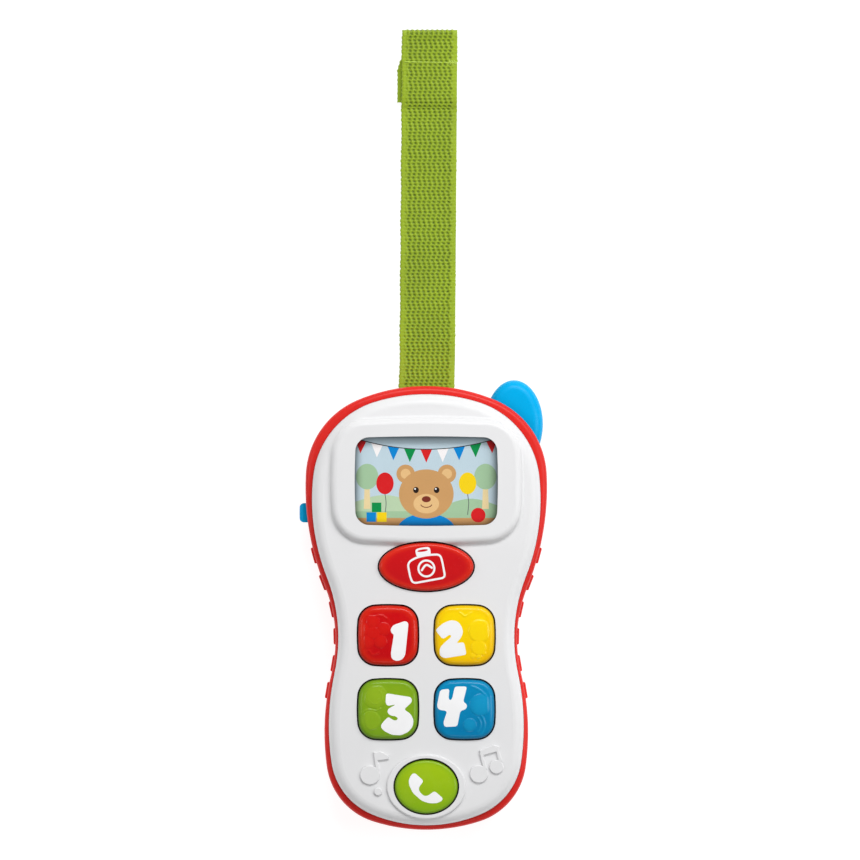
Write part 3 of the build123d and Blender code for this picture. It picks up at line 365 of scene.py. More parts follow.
red_shell = surface("red_shell", RED, 0.36, 0.04, grain=0.000004, Coat_Weight=0.04, Coat_Roughness=0.2,
                    Specular_IOR_Level=0.22, Subsurface_Weight=0.08,
                    Subsurface_Radius=(0.003, 0.0008, 0.0005), paint=finger_marks)
white_shell = surface("white_shell", WHITE, 0.42, 0.008, patch=10.0, grain=0.000003, Specular_IOR_Level=0.4,
                      Subsurface_Weight=0.06, Subsurface_Radius=(0.0015, 0.0015, 0.0015), paint=finger_marks)
antenna_blue = surface("antenna_blue", BLUE, 0.3, 0.04, grain=0.000005, Specular_IOR_Level=0.12,
                       paint=finger_marks)
knob_blue = surface("knob_blue", srgb(0, 168, 226), 0.42, 0.06, grain=0.00002, Specular_IOR_Level=0.1)
white_print = surface("white_print", PRINT, 0.38, 0.015, patch=140.0, grain=0.000008, grain_scale=3200.0)
milky = surface("milky", srgb(228, 230, 232), 0.45, 0.03, Subsurface_Weight=0.3,
                Subsurface_Radius=(0.002, 0.002, 0.002))
led = surface("led", srgb(255, 250, 225), 0.12, 0.04, Coat_Weight=0.6, Transmission_Weight=0.3)
rubber = surface("rubber", srgb(176, 178, 180), 0.72, 0.07, grain=0.00003, grain_scale=2600.0,
                 Sheen_Weight=0.1)
laminate = surface("laminate", srgb(34, 110, 62), 0.38, 0.10, patch=160.0, grain=0.00002, Coat_Weight=0.4)
epoxy = surface("epoxy", srgb(18, 18, 20), 0.22, 0.2, grain=0.00004, grain_scale=600.0, Coat_Weight=0.5)
parts_brown = surface("parts_brown", srgb(120, 82, 52), 0.5, 0.15, patch=300.0)
zinc = surface("zinc", srgb(190, 192, 196), 0.32, 0.08, patch=260.0, grain=0.00002, Metallic=1.0)
spring = surface("spring", srgb(205, 205, 200), 0.28, 0.08, patch=400.0, Metallic=1.0)
black = surface("black_plastic", srgb(26, 26, 28), 0.4, 0.12, grain=0.00002)
tin = surface("speaker_tin", srgb(165, 168, 172), 0.36, 0.08, Metallic=1.0)
ferrite = surface("ferrite", srgb(52, 50, 50), 0.6, 0.15, grain=0.00005)
paper = surface("cone_paper", srgb(44, 40, 38), 0.8, 0.12, grain=0.00006, grain_scale=1200.0)


def weave(tree, coords):
    """Fine grid of a woven cloth."""
    wave = []
    for axis in ("X", "Y"):
        n = make_node(tree, "ShaderNodeTexWave", {"Scale": 520.0, "Distortion": 0.6}, bands_direction=axis)
        link(tree, coords, n.inputs["Vector"])
        wave.append(n.outputs["Fac"])
    return mix(tree, 0.5, wave[0], wave[1], "MULTIPLY"), 0.00012


cloth = surface("speaker_cloth_black", srgb(30, 30, 32), 0.85, 0.2, bump=weave, Sheen_Weight=0.3)
wire_red = surface("wire_red", srgb(190, 24, 24), 0.4, 0.08, patch=200.0, grain=0.00002)
wire_black = surface("wire_black", srgb(24, 24, 26), 0.42, 0.1, patch=200.0, grain=0.00002)


def jacket_bands(tree, base, coords):
    """Plain battery jacket: a copper-coloured end on a dark body."""
    place_y = make_node(tree, "ShaderNodeSeparateXYZ")
    link(tree, coords, place_y.inputs[0])
    _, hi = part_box("batteries")
    band_y, soft = hi.y - 0.0135, 0.0005  # m
    upper = remap(tree, place_y.outputs["Y"], band_y, band_y + soft, 0.0, 1.0)
    return mix(tree, upper, base, srgb(196, 128, 62))


jacket = surface("battery_jacket", srgb(40, 42, 48), 0.3, 0.08, paint=jacket_bands, Metallic=0.6,
                 Coat_Weight=0.4)


def key_paint(rim_glow_colour, shaded_colour, glow_and_streak_colour, soft=0.8):
    """Clear-plastic colour with painted light: painted glow at the rim and on the moulded forms, painted shade
    lower down, painted shadow at the edge.
    """

    def paint(tree, base, coords):
        # painted shade: darker towards the bottom of the key, as if lit from above
        painted_low_shade = mix(tree, attribute(tree, "painted_low_shade"), base, shaded_colour)
        # painted glow on the raised relief
        lit = mix(tree, attribute(tree, "form"), painted_low_shade, glow_and_streak_colour)
        streaks = remap(tree, noise_value(tree, coords, 210.0, 4.0, 0.6), 0.46, 0.72, 0.0, 0.16)
        lit = mix(tree, streaks, lit, glow_and_streak_colour)
        # painted glow at the rim, where light gathers in the clear plastic
        edged = mix(tree, calc(tree, "MULTIPLY", attribute(tree, "rim"), soft), lit, rim_glow_colour)
        # painted shadow on the outermost part of the rolled edge, where it turns down into the gap
        outline = remap(tree, attribute(tree, "rim"), 0.86, 1.0, 0.0, 0.75)
        edged = mix(tree, outline, edged, shade(shaded_colour, 0.16))
        # painted shadow: the walls below the top are painted nearly black
        return mix(tree, attribute(tree, "shadow"), edged, shade(shaded_colour, 0.04))

    return paint


# rim is the colour of a painted rim glow, low a painted shade colour, light a painted glow colour for the
# relief and the streaks
def key_plastic(name, colour, rim, low, light, radius, soft=0.8):
    return surface(name, colour, 0.24, 0.03, patch=90.0, grain=0.000004, grain_scale=900.0,
                   paint=key_paint(rim, low, light, soft), Coat_Weight=0.04, Coat_Roughness=0.06,
                   Specular_IOR_Level=0.2, Subsurface_Weight=0.12, Subsurface_Radius=radius)


# each key: own colour, painted rim glow, painted shade, painted glow, scatter radius, strength of the rim glow
key_materials = {
    "number_button_1": key_plastic("key_red_clear", srgb(204, 6, 14), srgb(234, 62, 20), srgb(186, 6, 16),
                                   srgb(228, 40, 22), (0.006, 0.001, 0.0005), 0.45),
    "number_button_2": key_plastic("key_yellow_clear", srgb(252, 216, 0), srgb(226, 158, 0),
                                   srgb(246, 190, 0), srgb(255, 226, 20), (0.006, 0.004, 0.0005), 0.35),
    "number_button_3": key_plastic("key_green_clear", srgb(132, 170, 24), srgb(110, 156, 28),
                                   srgb(112, 156, 32), srgb(158, 190, 40), (0.003, 0.006, 0.0008), 0.5),
    "number_button_4": key_plastic("key_blue_clear", srgb(0, 136, 186), srgb(0, 138, 188), srgb(0, 112, 164),
                                   srgb(24, 160, 206), (0.0005, 0.003, 0.006), 0.5),
    "camera_button": key_plastic("key_red", srgb(206, 18, 24), srgb(238, 62, 28), srgb(192, 20, 26),
                                 srgb(224, 30, 28), (0.004, 0.001, 0.0005), 0.6),
    "call_button": key_plastic("key_green", srgb(158, 192, 18), srgb(120, 168, 30), srgb(124, 172, 26),
                               srgb(168, 204, 70), (0.003, 0.005, 0.0008), 0.6),
}

# --- Camera, floor and light ---------------------------------------------------------------
camera_data = bpy.data.cameras.new("camera")
camera = bpy.data.objects.new("camera", camera_data)
scene.collection.objects.link(camera)
scene.camera = camera
camera.location = (AIM[0] * MM, AIM[1] * MM, CAMERA_HEIGHT)
camera_data.sensor_width = SENSOR
camera_data.lens = SENSOR * CAMERA_HEIGHT / (SPAN * MM)
camera_data.clip_end = 50.0
scene.view_settings.view_transform = "Standard"

floor_mesh = bpy.data.meshes.new("floor")
floor_mesh.from_pydata([(x * FLOOR_HALF, y * FLOOR_HALF, FLOOR_Z)
                        for x, y in ((-1, -1), (1, -1), (1, 1), (-1, 1))],
                       [], [(0, 1, 2, 3)])
floor = bpy.data.objects.new("floor", floor_mesh)
scene.collection.objects.link(floor)
floor_mesh.materials.append(surface("floor_paper", (0.34, 0.34, 0.34), 0.9, 0.004, patch=2.0, grain=0.00001,
                                    Specular_IOR_Level=0.0, Emission_Color=(1.0, 1.0, 1.0, 1.0),
                                    Emission_Strength=0.86))


def soft_light(name, where, size_x, size_y, power):
    """White area light that faces the toy."""
    data = bpy.data.lights.new(name, "AREA")
    data.shape = "RECTANGLE"
    data.size, data.size_y = size_x, size_y
    data.energy = power
    lamp = bpy.data.objects.new(name, data)
    scene.collection.objects.link(lamp)
    lamp.location = where
    lamp.rotation_mode = "QUATERNION"
    lamp.rotation_quaternion = (Vector((0, 0.03, 0.02)) - Vector(where)).to_track_quat("-Z", "Y")


soft_light("key_light", (0.25, 1.9, 2.1), 1.7, 0.9, 43.0)
soft_light("left_light", (-2.1, 0.3, 1.9), 0.8, 1.6, 10.0)
soft_light("right_light", (2.1, 0.1, 1.9), 0.8, 1.6, 17.0)
soft_light("low_light", (0.1, -1.9, 2.0), 1.4, 0.7, 6.0)
soft_light("near_light", (0.62, 0.72, 0.8), 0.5, 0.5, 3.4)

world = bpy.data.worlds.new("studio")
scene.world = world
world.use_nodes = True
world.node_tree.nodes["Background"].inputs["Color"].default_value = (1.0, 1.0, 1.0, 1.0)
world.node_tree.nodes["Background"].inputs["Strength"].default_value = 0.22


# --- Keys ----------------------------------------------------------------------------------
KEY_COUNT = 220
ANGLES = np.linspace(0, 2 * math.pi, KEY_COUNT, endpoint=False)
FLANGE_REACH, KEY_WALL, STEM_R = 1.3, 1.5, 2.6


def cushion_loop(width, corner, bulge, inset):
    """Bowed square moved inwards, as offsets from its middle at even angles."""
    half = width / 2 - inset
    side_r = ((width / 2 - bulge) ** 2 + bulge**2) / (2 * bulge)
    centre = width / 2 - side_r
    reach = side_r - corner
    c = (2 * centre + math.sqrt(8 * reach**2 - 4 * centre**2)) / 4
    corner_r, side_in = corner - inset, half - centre
    limit = math.atan2(c, c - centre)
    radii = []
    for a in ANGLES:
        a = abs((a + math.pi / 4) % (math.pi / 2) - math.pi / 4)
        side = centre * math.cos(a) + math.sqrt(side_in**2 - (centre * math.sin(a)) ** 2)
        if math.atan2(side * math.sin(a), side * math.cos(a) - centre) > limit and corner_r > 0:
            miss = c * (math.cos(a) - math.sin(a))
            side = c * (math.cos(a) + math.sin(a)) + math.sqrt(max(0.0, corner_r**2 - miss**2))
        radii.append(side)
    return np.stack([np.cos(ANGLES), np.sin(ANGLES)], axis=1) * np.array(radii)[:, None]


def ellipse_loop(half_w, half_h, inset):
    edge = np.stack([half_w * np.cos(ANGLES), half_h * np.sin(ANGLES)], axis=1)
    out = np.stack([np.cos(ANGLES) / half_w, np.sin(ANGLES) / half_h], axis=1)
    return edge - out / np.linalg.norm(out, axis=1)[:, None] * inset


def polar(loop):
    """Turn and reach of the points of a loop, in order of turn."""
    turn, r = np.arctan2(loop[:, 1], loop[:, 0]), np.hypot(loop[:, 0], loop[:, 1])
    order = np.argsort(turn)
    return turn[order], r[order]


def ball(x, y, cx, cy, r, h):
    d = np.hypot(x - cx, y - cy)
    return h * np.sqrt(np.clip(1 - (d / r) ** 2, 0, 1))


def pad(x, y, cx, cy, r, h, soft=0.5):
    t = np.clip((r - np.hypot(x - cx, y - cy)) / soft, 0, 1)
    return h * t * t * (3 - 2 * t)


def rope(x, y, points, width, h):
    line = smooth_line(points, 0.3)
    d = np.min(np.hypot(x[..., None] - line[:, 0], y[..., None] - line[:, 1]), axis=-1)
    return h * np.exp(-((d / width) ** 2))


def arc(cx, cy, r, start, end):
    return [(cx + r * math.cos(math.radians(a)), cy + r * math.sin(math.radians(a)))
            for a in np.linspace(start, end, 7)]


def flower_form(x, y):
    form = pad(x, y, -5.2, 0.9, 2.4, 0.20)
    for turn in range(5):
        a = math.radians(72 * turn + 20)
        form = np.maximum(form, ball(x, y, -5.2 + 3.9 * math.cos(a), 0.9 + 3.9 * math.sin(a), 2.5, 0.24))
    form = np.maximum(form, rope(x, y, [(-8.8, -6.4), (-7.0, -5.2), (-5.6, -6.8), (-3.4, -6.2)], 0.35, 0.16))
    return np.maximum(form, rope(x, y, [(-7.8, 7.4), (-5.2, 6.6), (-2.6, 7.2), (-0.4, 6.0)], 0.35, 0.16))


def pear_form(x, y):
    form = np.maximum(pad(x, y, 5.4, 1.6, 4.4, 0.22, 0.9), pad(x, y, 5.0, -4.4, 3.0, 0.2, 0.8))
    form = np.maximum(form, rope(x, y, [(-1.6, 8.2), (-0.2, 7.0), (1.0, 7.2), (2.6, 8.4)], 0.3, 0.2))
    for cx, cy, r in ((3.0, -7.4, 1.0), (5.2, -7.9, 1.2), (7.0, -6.6, 0.9)):
        form = np.maximum(form, ball(x, y, cx, cy, r, 0.22))
    return form


def snail_form(x, y):
    form = ball(x, y, -4.6, 4.6, 4.4, 0.30)
    form = np.maximum(form, pad(x, y, -6.2, -4.0, 3.8, 0.2, 0.8))
    form = np.maximum(form, rope(x, y, arc(-4.6, 4.6, 2.6, 200, 420), 0.35, 0.36))
    return np.maximum(form, rope(x, y, [(-9.4, -1.0), (-7.0, 0.0), (-4.4, -0.4), (-2.6, 0.4)], 0.3, 0.2))


def bubble_form(x, y):
    form = ball(x, y, 5.7, 1.6, 4.0, 0.36)
    form = np.maximum(form, ball(x, y, 1.9, -5.6, 2.5, 0.3))
    for r in (3.9, 5.3):
        form = np.maximum(form, rope(x, y, arc(1.9, -5.6, r, -38, 40), 0.32, 0.24))
    return np.maximum(form, rope(x, y, [(2.6, 8.4), (5.6, 6.8), (8.0, 4.4), (9.2, 1.6)], 0.4, 0.22))


def plain_form(x, y):
    """No relief, for the keys with only a printed sign."""
    return np.zeros_like(x)


def make_key(node, loop_at, edge_r, dome, form, body, slot):
    """Key cap with a moulded top, a flange below the cover, and a stem over its dome.
    Returns the height of its top at a place."""
    lo, hi = place(node)
    cx, cy = (lo[:2] + hi[:2]) / 2
    co = np.array([v.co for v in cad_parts[node].data.vertices]) / MM
    flange = co[co[:, 0] > hi[0] - 0.02][:, 2]
    flange_lo, flange_hi = flange.min(), flange.max()
    top = hi[2]
    inner = loop_at(edge_r)
    reach = np.abs(inner).max(axis=0)
    inner_turn, inner_r = polar(inner)
    outer_turn, outer_r = polar(loop_at(0))

    def height(x, y):
        """Top of the key, with its rolled edge beyond the inner loop."""
        u, v = x - cx, y - cy
        turn, r = np.arctan2(v, u), np.hypot(u, v) + 1e-9
        inside_r = np.interp(turn, inner_turn, inner_r, period=2 * math.pi)
        outside_r = np.interp(turn, outer_turn, outer_r, period=2 * math.pi)
        held = np.minimum(1, inside_r / r)
        rise = top - dome * np.clip((u * held / reach[0]) ** 2 + (v * held / reach[1]) ** 2, 0, 1.6)
        past = np.clip((r - inside_r) / (outside_r - inside_r), 0, 1)
        rise -= edge_r * (1 - np.sqrt(1 - past**2))
        return rise + form(u, v) * np.clip((1 - r / inside_r) / 0.06, 0, 1)

    # rim: how far out onto the rolled edge a point lies, for a painted rim glow and a painted edge shadow
    rings, rim = [], []
    for share in np.linspace(0.02, 1, 46):
        ring = inner * share + (cx, cy)
        rings.append(np.column_stack([ring, height(ring[:, 0], ring[:, 1])]))
        rim.append(np.full(KEY_COUNT, np.clip((share - 0.84) / 0.16, 0, 1) ** 2 * 0.5))
    edge_z = rings[-1][:, 2]
    for turn in np.linspace(0, 90, 9)[1:]:
        a = math.radians(turn)
        ring = loop_at(edge_r * (1 - math.sin(a))) + (cx, cy)
        rings.append(np.column_stack([ring, edge_z - edge_r * (1 - math.cos(a))]))
        rim.append(np.full(KEY_COUNT, 0.5 + 0.5 * math.sin(a)))

    def low_ring(points, z):
        rings.append(np.column_stack([points + (cx, cy), np.full(KEY_COUNT, z)]))
        rim.append(np.full(KEY_COUNT, 0.6))

    seen = len(rings)
    stem = np.stack([np.cos(ANGLES), np.sin(ANGLES)], axis=1) * STEM_R
    low_ring(loop_at(0), edge_z.mean() - edge_r - 0.5)
    low_ring(loop_at(0), flange_hi)
    flange_loop = loop_at(-FLANGE_REACH)
    if node == "call_button":
        flange_loop = np.where(np.abs(flange_loop[:, 1:]) > 4.5, loop_at(0), flange_loop)
    low_ring(flange_loop, flange_hi)
    low_ring(flange_loop, flange_lo)
    low_ring(loop_at(KEY_WALL), flange_lo)
    low_ring(loop_at(KEY_WALL), top - edge_r - dome)
    low_ring(stem, top - edge_r - dome)
    low_ring(stem, lo[2])
    crown = float(height(np.array([cx]), np.array([cy]))[0])
    points, faces = tube_between(rings, (cx, cy, crown), (cx, cy, lo[2]))
    points = np.array(points)
    local_x, local_y = points[:, 0] - cx, points[:, 1] - cy
    raised = form(local_x, local_y)
    # values for the paint: painted shade lower on the key, painted shadow on the walls below the top, a painted
    # glow on the raised relief
    painted_low_shade = np.clip(0.5 - local_y / (hi[1] - lo[1]) * 1.1, 0, 1) ** 1.6 * 0.7
    piece(node.replace("button", "cap"), points, faces, body, slot, key_materials[node], stands_for=(node,),
          sharp=34.0, values={"rim": np.concatenate([[0], np.concatenate(rim), [0.6]]), "painted_low_shade": painted_low_shade,
                              "shadow": np.arange(len(points)) > seen * KEY_COUNT,
                              "form": np.clip(raised / 0.34, 0, 1) * 0.55})
    return height


NUMBER_W, NUMBER_R, NUMBER_BULGE = 21.6, 6.3, 0.9
NUMBER_EDGE_R, NUMBER_DOME = 2.0, 0.35
CAMERA_EDGE_R, CAMERA_DOME = 1.6, 0.25
CALL_EDGE_R, CALL_DOME = 1.4, 0.6
forms = [flower_form, pear_form, snail_form, bubble_form]
slots = ["red_clear_key", "yellow_clear_key", "green_clear_key", "blue_clear_key"]
tops = {}
for i, (form, slot) in enumerate(zip(forms, slots), 1):
    node = f"number_button_{i}"
    tops[node] = make_key(node, lambda inset: cushion_loop(NUMBER_W, NUMBER_R, NUMBER_BULGE, inset),
                          NUMBER_EDGE_R, NUMBER_DOME, form, f"number_key_{i}", slot)
lo, hi = place("camera_button")
camera_half = (hi - lo)[:2] / 2 - FLANGE_REACH
tops["camera_button"] = make_key("camera_button", lambda inset: ellipse_loop(*camera_half, inset),
                                 CAMERA_EDGE_R, CAMERA_DOME, plain_form, "camera_key", "red_key")
lo, hi = place("call_button")
call_half = ((hi - lo)[0] / 2 - FLANGE_REACH, (hi - lo)[1] / 2)
tops["call_button"] = make_key("call_button", lambda inset: ellipse_loop(*call_half, inset),
                               CALL_EDGE_R, CALL_DOME, plain_form, "call_key", "green_key")

# Printed digits and signs, as offsets from the middle of their key
DIGITS = {
    "number_button_1": [(6.25, 5.2), (7.35, 4.4), (6.15, -7.2), (4.8, -8.9), (2.9, -9.2), (1.3, -8.4),
                        (1.0, -6.6), (2.1, 0.3), (1.4, 0.7), (0.8, 1.9), (1.7, 3.6)],
    "number_button_2": [(-10.5, 1.9), (-7.6, 4.4), (-4.8, 5.5), (-2.4, 5.0), (-1.0, 3.1), (-0.5, 1.1),
                        (-1.3, -0.9), (-3.0, -2.8), (-0.2, -2.4), (0.7, -6.9), (-7.2, -8.2), (-8.9, -7.3),
                        (-8.9, -4.6), (-7.6, -3.0), (-4.65, -0.5), (-5.2, 0.4), (-7.8, -1.4)],
    "number_button_3": [(-0.7, 5.8), (8.4, 4.35), (8.6, 2.6), (5.7, 0.0), (8.1, -1.6), (9.2, -3.8),
                        (8.8, -6.2), (7.35, -8.05), (4.6, -9.3), (1.3, -9.1), (-1.65, -7.6), (-2.8, -6.0),
                        (-1.5, -4.2), (0.2, -2.6), (1.1, -3.4), (2.6, -4.1), (3.7, -3.4), (2.8, -2.4),
                        (1.1, -2.3), (-0.2, -1.3), (-0.1, 0.1), (2.9, 1.8), (-0.2, 1.2), (-0.9, 2.4)],
    "number_button_4": [(-8.7, 7.0), (-5.4, 7.4), (-5.75, 3.9), (-5.1, 3.2), (-4.4, 3.9), (-3.5, 8.2),
                        (0.9, 8.2), (-0.5, 2.7), (0.7, 2.0), (0.9, 0.9), (0.2, -0.1), (-1.5, -0.5),
                        (-2.6, -6.1), (-7.2, -6.3), (-7.6, -4.7), (-6.2, -0.6), (-9.3, -0.1),
                        (-9.9, 1.2)],
    "call_button": [(-4.1, 4.9), (-0.9, 2.05), (-2.65, -0.2), (-2.6, -1.6), (-1.0, -3.3), (0.6, -3.3),
                    (2.5, -1.8), (3.3, -1.8), (5.9, -4.1), (5.7, -5.0), (4.0, -5.9), (1.3, -6.0),
                    (-1.6, -5.1), (-4.8, -2.3), (-6.2, 0.7), (-6.3, 2.5), (-5.2, 4.5)],
}
bodies = {"call_button": "call_key", **{f"number_button_{i}": f"number_key_{i}" for i in range(1, 5)}}
for node, outline in DIGITS.items():
    centre = middle(node)[:2]
    decal(node.replace("button", "print"), [rounded(outline, 1.0) + centre], tops[node], bodies[node],
          "printed_card", white_print, lift=0.05, thick=0.14, step=0.4, sharp=50.0)

SIGN_LINE = 0.72
camera_middle = middle("camera_button")[:2]
body_line = rounded([(-6.7, 1.3), (-4.2, 3.0), (-1.1, 3.9), (1.6, 4.25), (4.9, 4.4), (5.7, 2.0), (6.8, -3.9),
                     (-4.7, -6.0), (-5.7, -4.0)], 1.5)
shutter = rounded([(-3.3, 3.0), (-4.1, 6.2), (-1.3, 6.9), (1.3, 7.1), (1.7, 4.1)], 1.1)
gleam = stroke([(-1.6, -1.3), (-0.6, 0.2), (0.2, 0.6), (1.0, 0.3), (2.0, -0.4)], 0.75)
for part, loops, lift in (("body", ring_band(body_line, SIGN_LINE), 0.03),
                          ("lens", ring_band(oval(0.05, -0.65, 2.85, 2.85), SIGN_LINE), 0.03),
                          ("gleam", [gleam], 0.03),
                          ("shutter", [shutter, oval(-1.3, 5.75, 1.9, 0.42, 8.0)], 0.045)):
    decal("camera_sign_" + part, [loop + camera_middle for loop in loops], tops["camera_button"], "camera_key",
          "printed_card", white_print, lift=lift, step=0.0, sharp=50.0)


# --- Keypad mat: a sheet on the board and a rubber dome under each key --------------------------
mat_lo, mat_hi = place("keypad_mat")
DOME_BASE_R, DOME_TOP_R, DOME_WALL, MAT_T = 5.5, 3.8, 0.8, 0.8
MAT_CORNER_X, MAT_CORNER_Y = 12, 6
POST_HOLE_R = 2.6
POST_HOLES = ((24.0, 9.0), (20.0, -53.0))  # on the right; the left is its mirror
DOME_COUNT = 48
key_joints = {"camera_button": "camera_key_press", "call_button": "call_key_press",
              **{f"number_button_{i}": f"number_key_{i}_press" for i in range(1, 5)}}
centres = {node: middle(node)[:2] for node in key_joints}
mat_outline = rounded([(mat_lo[0], mat_lo[1] + MAT_CORNER_Y), (mat_lo[0] + MAT_CORNER_X, mat_lo[1]),
                       (mat_hi[0] - MAT_CORNER_X, mat_lo[1]), (mat_hi[0], mat_lo[1] + MAT_CORNER_Y),
                       (mat_hi[0], mat_hi[1]), (mat_lo[0], mat_hi[1])], 5.0)
holes = [oval(*c, DOME_BASE_R, DOME_BASE_R) for c in centres.values()]
posts = [oval(side * x, y, POST_HOLE_R, POST_HOLE_R) for x, y in POST_HOLES for side in (-1, 1)]
decal("mat_sheet", [mat_outline] + holes + posts, lambda x, y: np.full(len(x), mat_lo[2] + MAT_T), "case",
      "grey_rubber", rubber, lift=0.0, thick=MAT_T, step=0.0, stands_for=("keypad_mat",))
for node, joint in key_joints.items():
    cx, cy = centres[node]
    profile = [(DOME_BASE_R - DOME_WALL, mat_lo[2]), (DOME_BASE_R - 0.02, mat_lo[2]),
               (DOME_BASE_R - 0.02, mat_lo[2] + MAT_T), (DOME_TOP_R + 0.25, mat_hi[2] - 0.3),
               (DOME_TOP_R - 0.2, mat_hi[2])]
    ceiling = mat_hi[2] - DOME_WALL
    hollow = [(DOME_TOP_R - DOME_WALL, ceiling), (DOME_BASE_R - DOME_WALL - 0.05, mat_lo[2] + 0.05)]
    turn = np.linspace(0, 2 * math.pi, DOME_COUNT, endpoint=False)
    unit = np.stack([np.cos(turn), np.sin(turn)], axis=1)
    rings = [np.column_stack([unit * r + (cx, cy), np.full(DOME_COUNT, z)]) for r, z in hollow + profile]
    points, faces = tube_between(rings, (cx, cy, ceiling), (cx, cy, mat_hi[2]))
    dome = piece("dome_" + node.replace("_button", ""), points, faces, "case", "grey_rubber", rubber)
    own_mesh(dome)

# --- Picture on the card behind the lens: layers of flat print, a plain scene of our own -----------
card_lo, card_hi = place("screen_picture")
art_x, art_y = (card_lo[:2] + card_hi[:2]) / 2
PAPER_TOP = card_lo[2] + 0.05
WINDOW_W, WINDOW_H, WINDOW_SOFT_R = 51.3, 32.1, 6.0
LAYER = 0.011  # step from one layer of print to the next
PRINT_T = LAYER * 0.9
printed = []
inks = {}


def window_recess_shade(tree, coords):
    """Painted shadow of the window's recess: 1 at the edge of the window and 0 from a few millimetres inside
    it.
    """
    split = make_node(tree, "ShaderNodeSeparateXYZ")
    link(tree, coords, split.inputs[0])
    reach = []
    for axis, middle_at, half in (("X", art_x, WINDOW_W / 2), ("Y", art_y, WINDOW_H / 2)):
        off = calc(tree, "ABSOLUTE", calc(tree, "SUBTRACT", split.outputs[axis], middle_at * MM))
        reach.append(calc(tree, "SUBTRACT", off, (half - WINDOW_SOFT_R) * MM))
    past = [calc(tree, "POWER", calc(tree, "MAXIMUM", r, 0.0), 2.0) for r in reach]
    corner = calc(tree, "SQRT", calc(tree, "ADD", past[0], past[1]))
    flat = calc(tree, "MINIMUM", calc(tree, "MAXIMUM", reach[0], reach[1]), 0.0)
    distance = calc(tree, "SUBTRACT", WINDOW_SOFT_R * MM, calc(tree, "ADD", corner, flat))
    return calc(tree, "POWER", remap(tree, distance, 0.0, 0.0034, 0.98, 0.0), 1.8)


def ink(colour):
    if colour not in inks:
        def dots(tree, base, coords):
            """Print with a faint screen of finer ink, and painted shadow darkening it towards the edge of the
            window.
            """
            n = make_node(tree, "ShaderNodeTexVoronoi", {"Scale": 5200.0})
            link(tree, coords, n.inputs["Vector"])
            fade = remap(tree, n.outputs["Distance"], 0.1, 0.6, 0.0, 0.07)
            screened = mix(tree, fade, base, shade(srgb(*colour), 0.82))
            # painted shadow cast by the window's recess
            return mix(tree, window_recess_shade(tree, coords), screened, shade(srgb(*colour), 0.22))

        # the print gives off a faint glow of its own, as painted light that brightens the picture
        inks[colour] = surface("ink_%d_%d_%d" % colour, srgb(*colour), 0.42, 0.02, patch=120.0,
                               grain=0.000004, paint=dots, Specular_IOR_Level=0.2, glow=0.16)
    return inks[colour]


def print_shape(name, loops, colour):
    """Shape printed over what it overlaps; loops are offsets from the picture's middle."""
    lo, hi = np.vstack(loops).min(axis=0), np.vstack(loops).max(axis=0)
    under = [level for low, high, level in printed if (lo < high).all() and (hi > low).all()]
    level = max(under, default=0) + 1
    printed.append((lo, hi, level))
    z = PAPER_TOP + LAYER * level
    decal("picture_" + name, [np.asarray(loop, float) + (art_x, art_y) for loop in loops],
          lambda x, y: np.full(len(x), z), "case", "printed_card", ink(colour), lift=0.0, thick=PRINT_T,
          step=0.0)


SKY, FAR_HILL, NEAR_HILL = (190, 208, 218), (183, 205, 170), (160, 192, 155)
SAND, TRUNK, FUR, MUZZLE = (197, 148, 96), (231, 208, 158), (201, 152, 98), (226, 184, 128)
INK_WHITE, INK_BLUE, INK_GREEN = (244, 238, 238), (0, 130, 205), (0, 138, 70)
INK_RED, INK_YELLOW, GREY = (212, 28, 32), (242, 206, 20), (90, 90, 94)
ROPE, NOSE, EYE, GLEAM, LIPS = (40, 44, 48), (120, 46, 34), (36, 24, 20), (250, 250, 250), (110, 50, 34)

card_w, card_h = (card_hi - card_lo)[:2]
card_loop = rounded([(-card_w / 2, -card_h / 2), (card_w / 2, -card_h / 2), (card_w / 2, card_h / 2),
                     (-card_w / 2, card_h / 2)], 9.0, 12)
decal("picture_card", [card_loop + (art_x, art_y)], lambda x, y: np.full(len(x), PAPER_TOP), "case",
      "printed_card", ink(SKY), lift=0.0, thick=PAPER_TOP - card_lo[2], step=0.0,
      stands_for=("screen_picture",))

EDGE_X, EDGE_Y = 27.0, 17.6


def land(level, rise, crest, spread):
    """Ground with one low hill, closed along the bottom of the card."""
    across = np.linspace(-EDGE_X, EDGE_X, 37)
    skyline = level + rise * np.exp(-((across - crest) / spread) ** 2)
    return np.vstack([np.column_stack([across, skyline]), [(EDGE_X, -EDGE_Y), (-EDGE_X, -EDGE_Y)]])


def rope_y(x):
    """Height of the sagging rope that the flags hang on."""
    return 11.4 + 4.4 * (x / EDGE_X) ** 2


# Land, with one round tree on each side
print_shape("hill_far", [land(-9.5, 4.5, -15.0, 12.0)], FAR_HILL)
print_shape("hill_near", [land(-10.8, 4.5, 16.0, 11.0)], NEAR_HILL)
TREE_X, CROWN_Y = 21.2, 1.6
for side, name in ((-1, "left"), (1, "right")):
    x = side * TREE_X
    print_shape(f"trunk_{name}", [[(x - 1.2, -10.0), (x + 1.2, -10.0), (x + 0.8, CROWN_Y), (x - 0.8, CROWN_Y)]],
                TRUNK)
    print_shape(f"crown_{name}", [oval(x, CROWN_Y, 4.0, 4.6)], NEAR_HILL)
print_shape("sand", [land(-13.2, 0.0, 0.0, 1.0)], SAND)

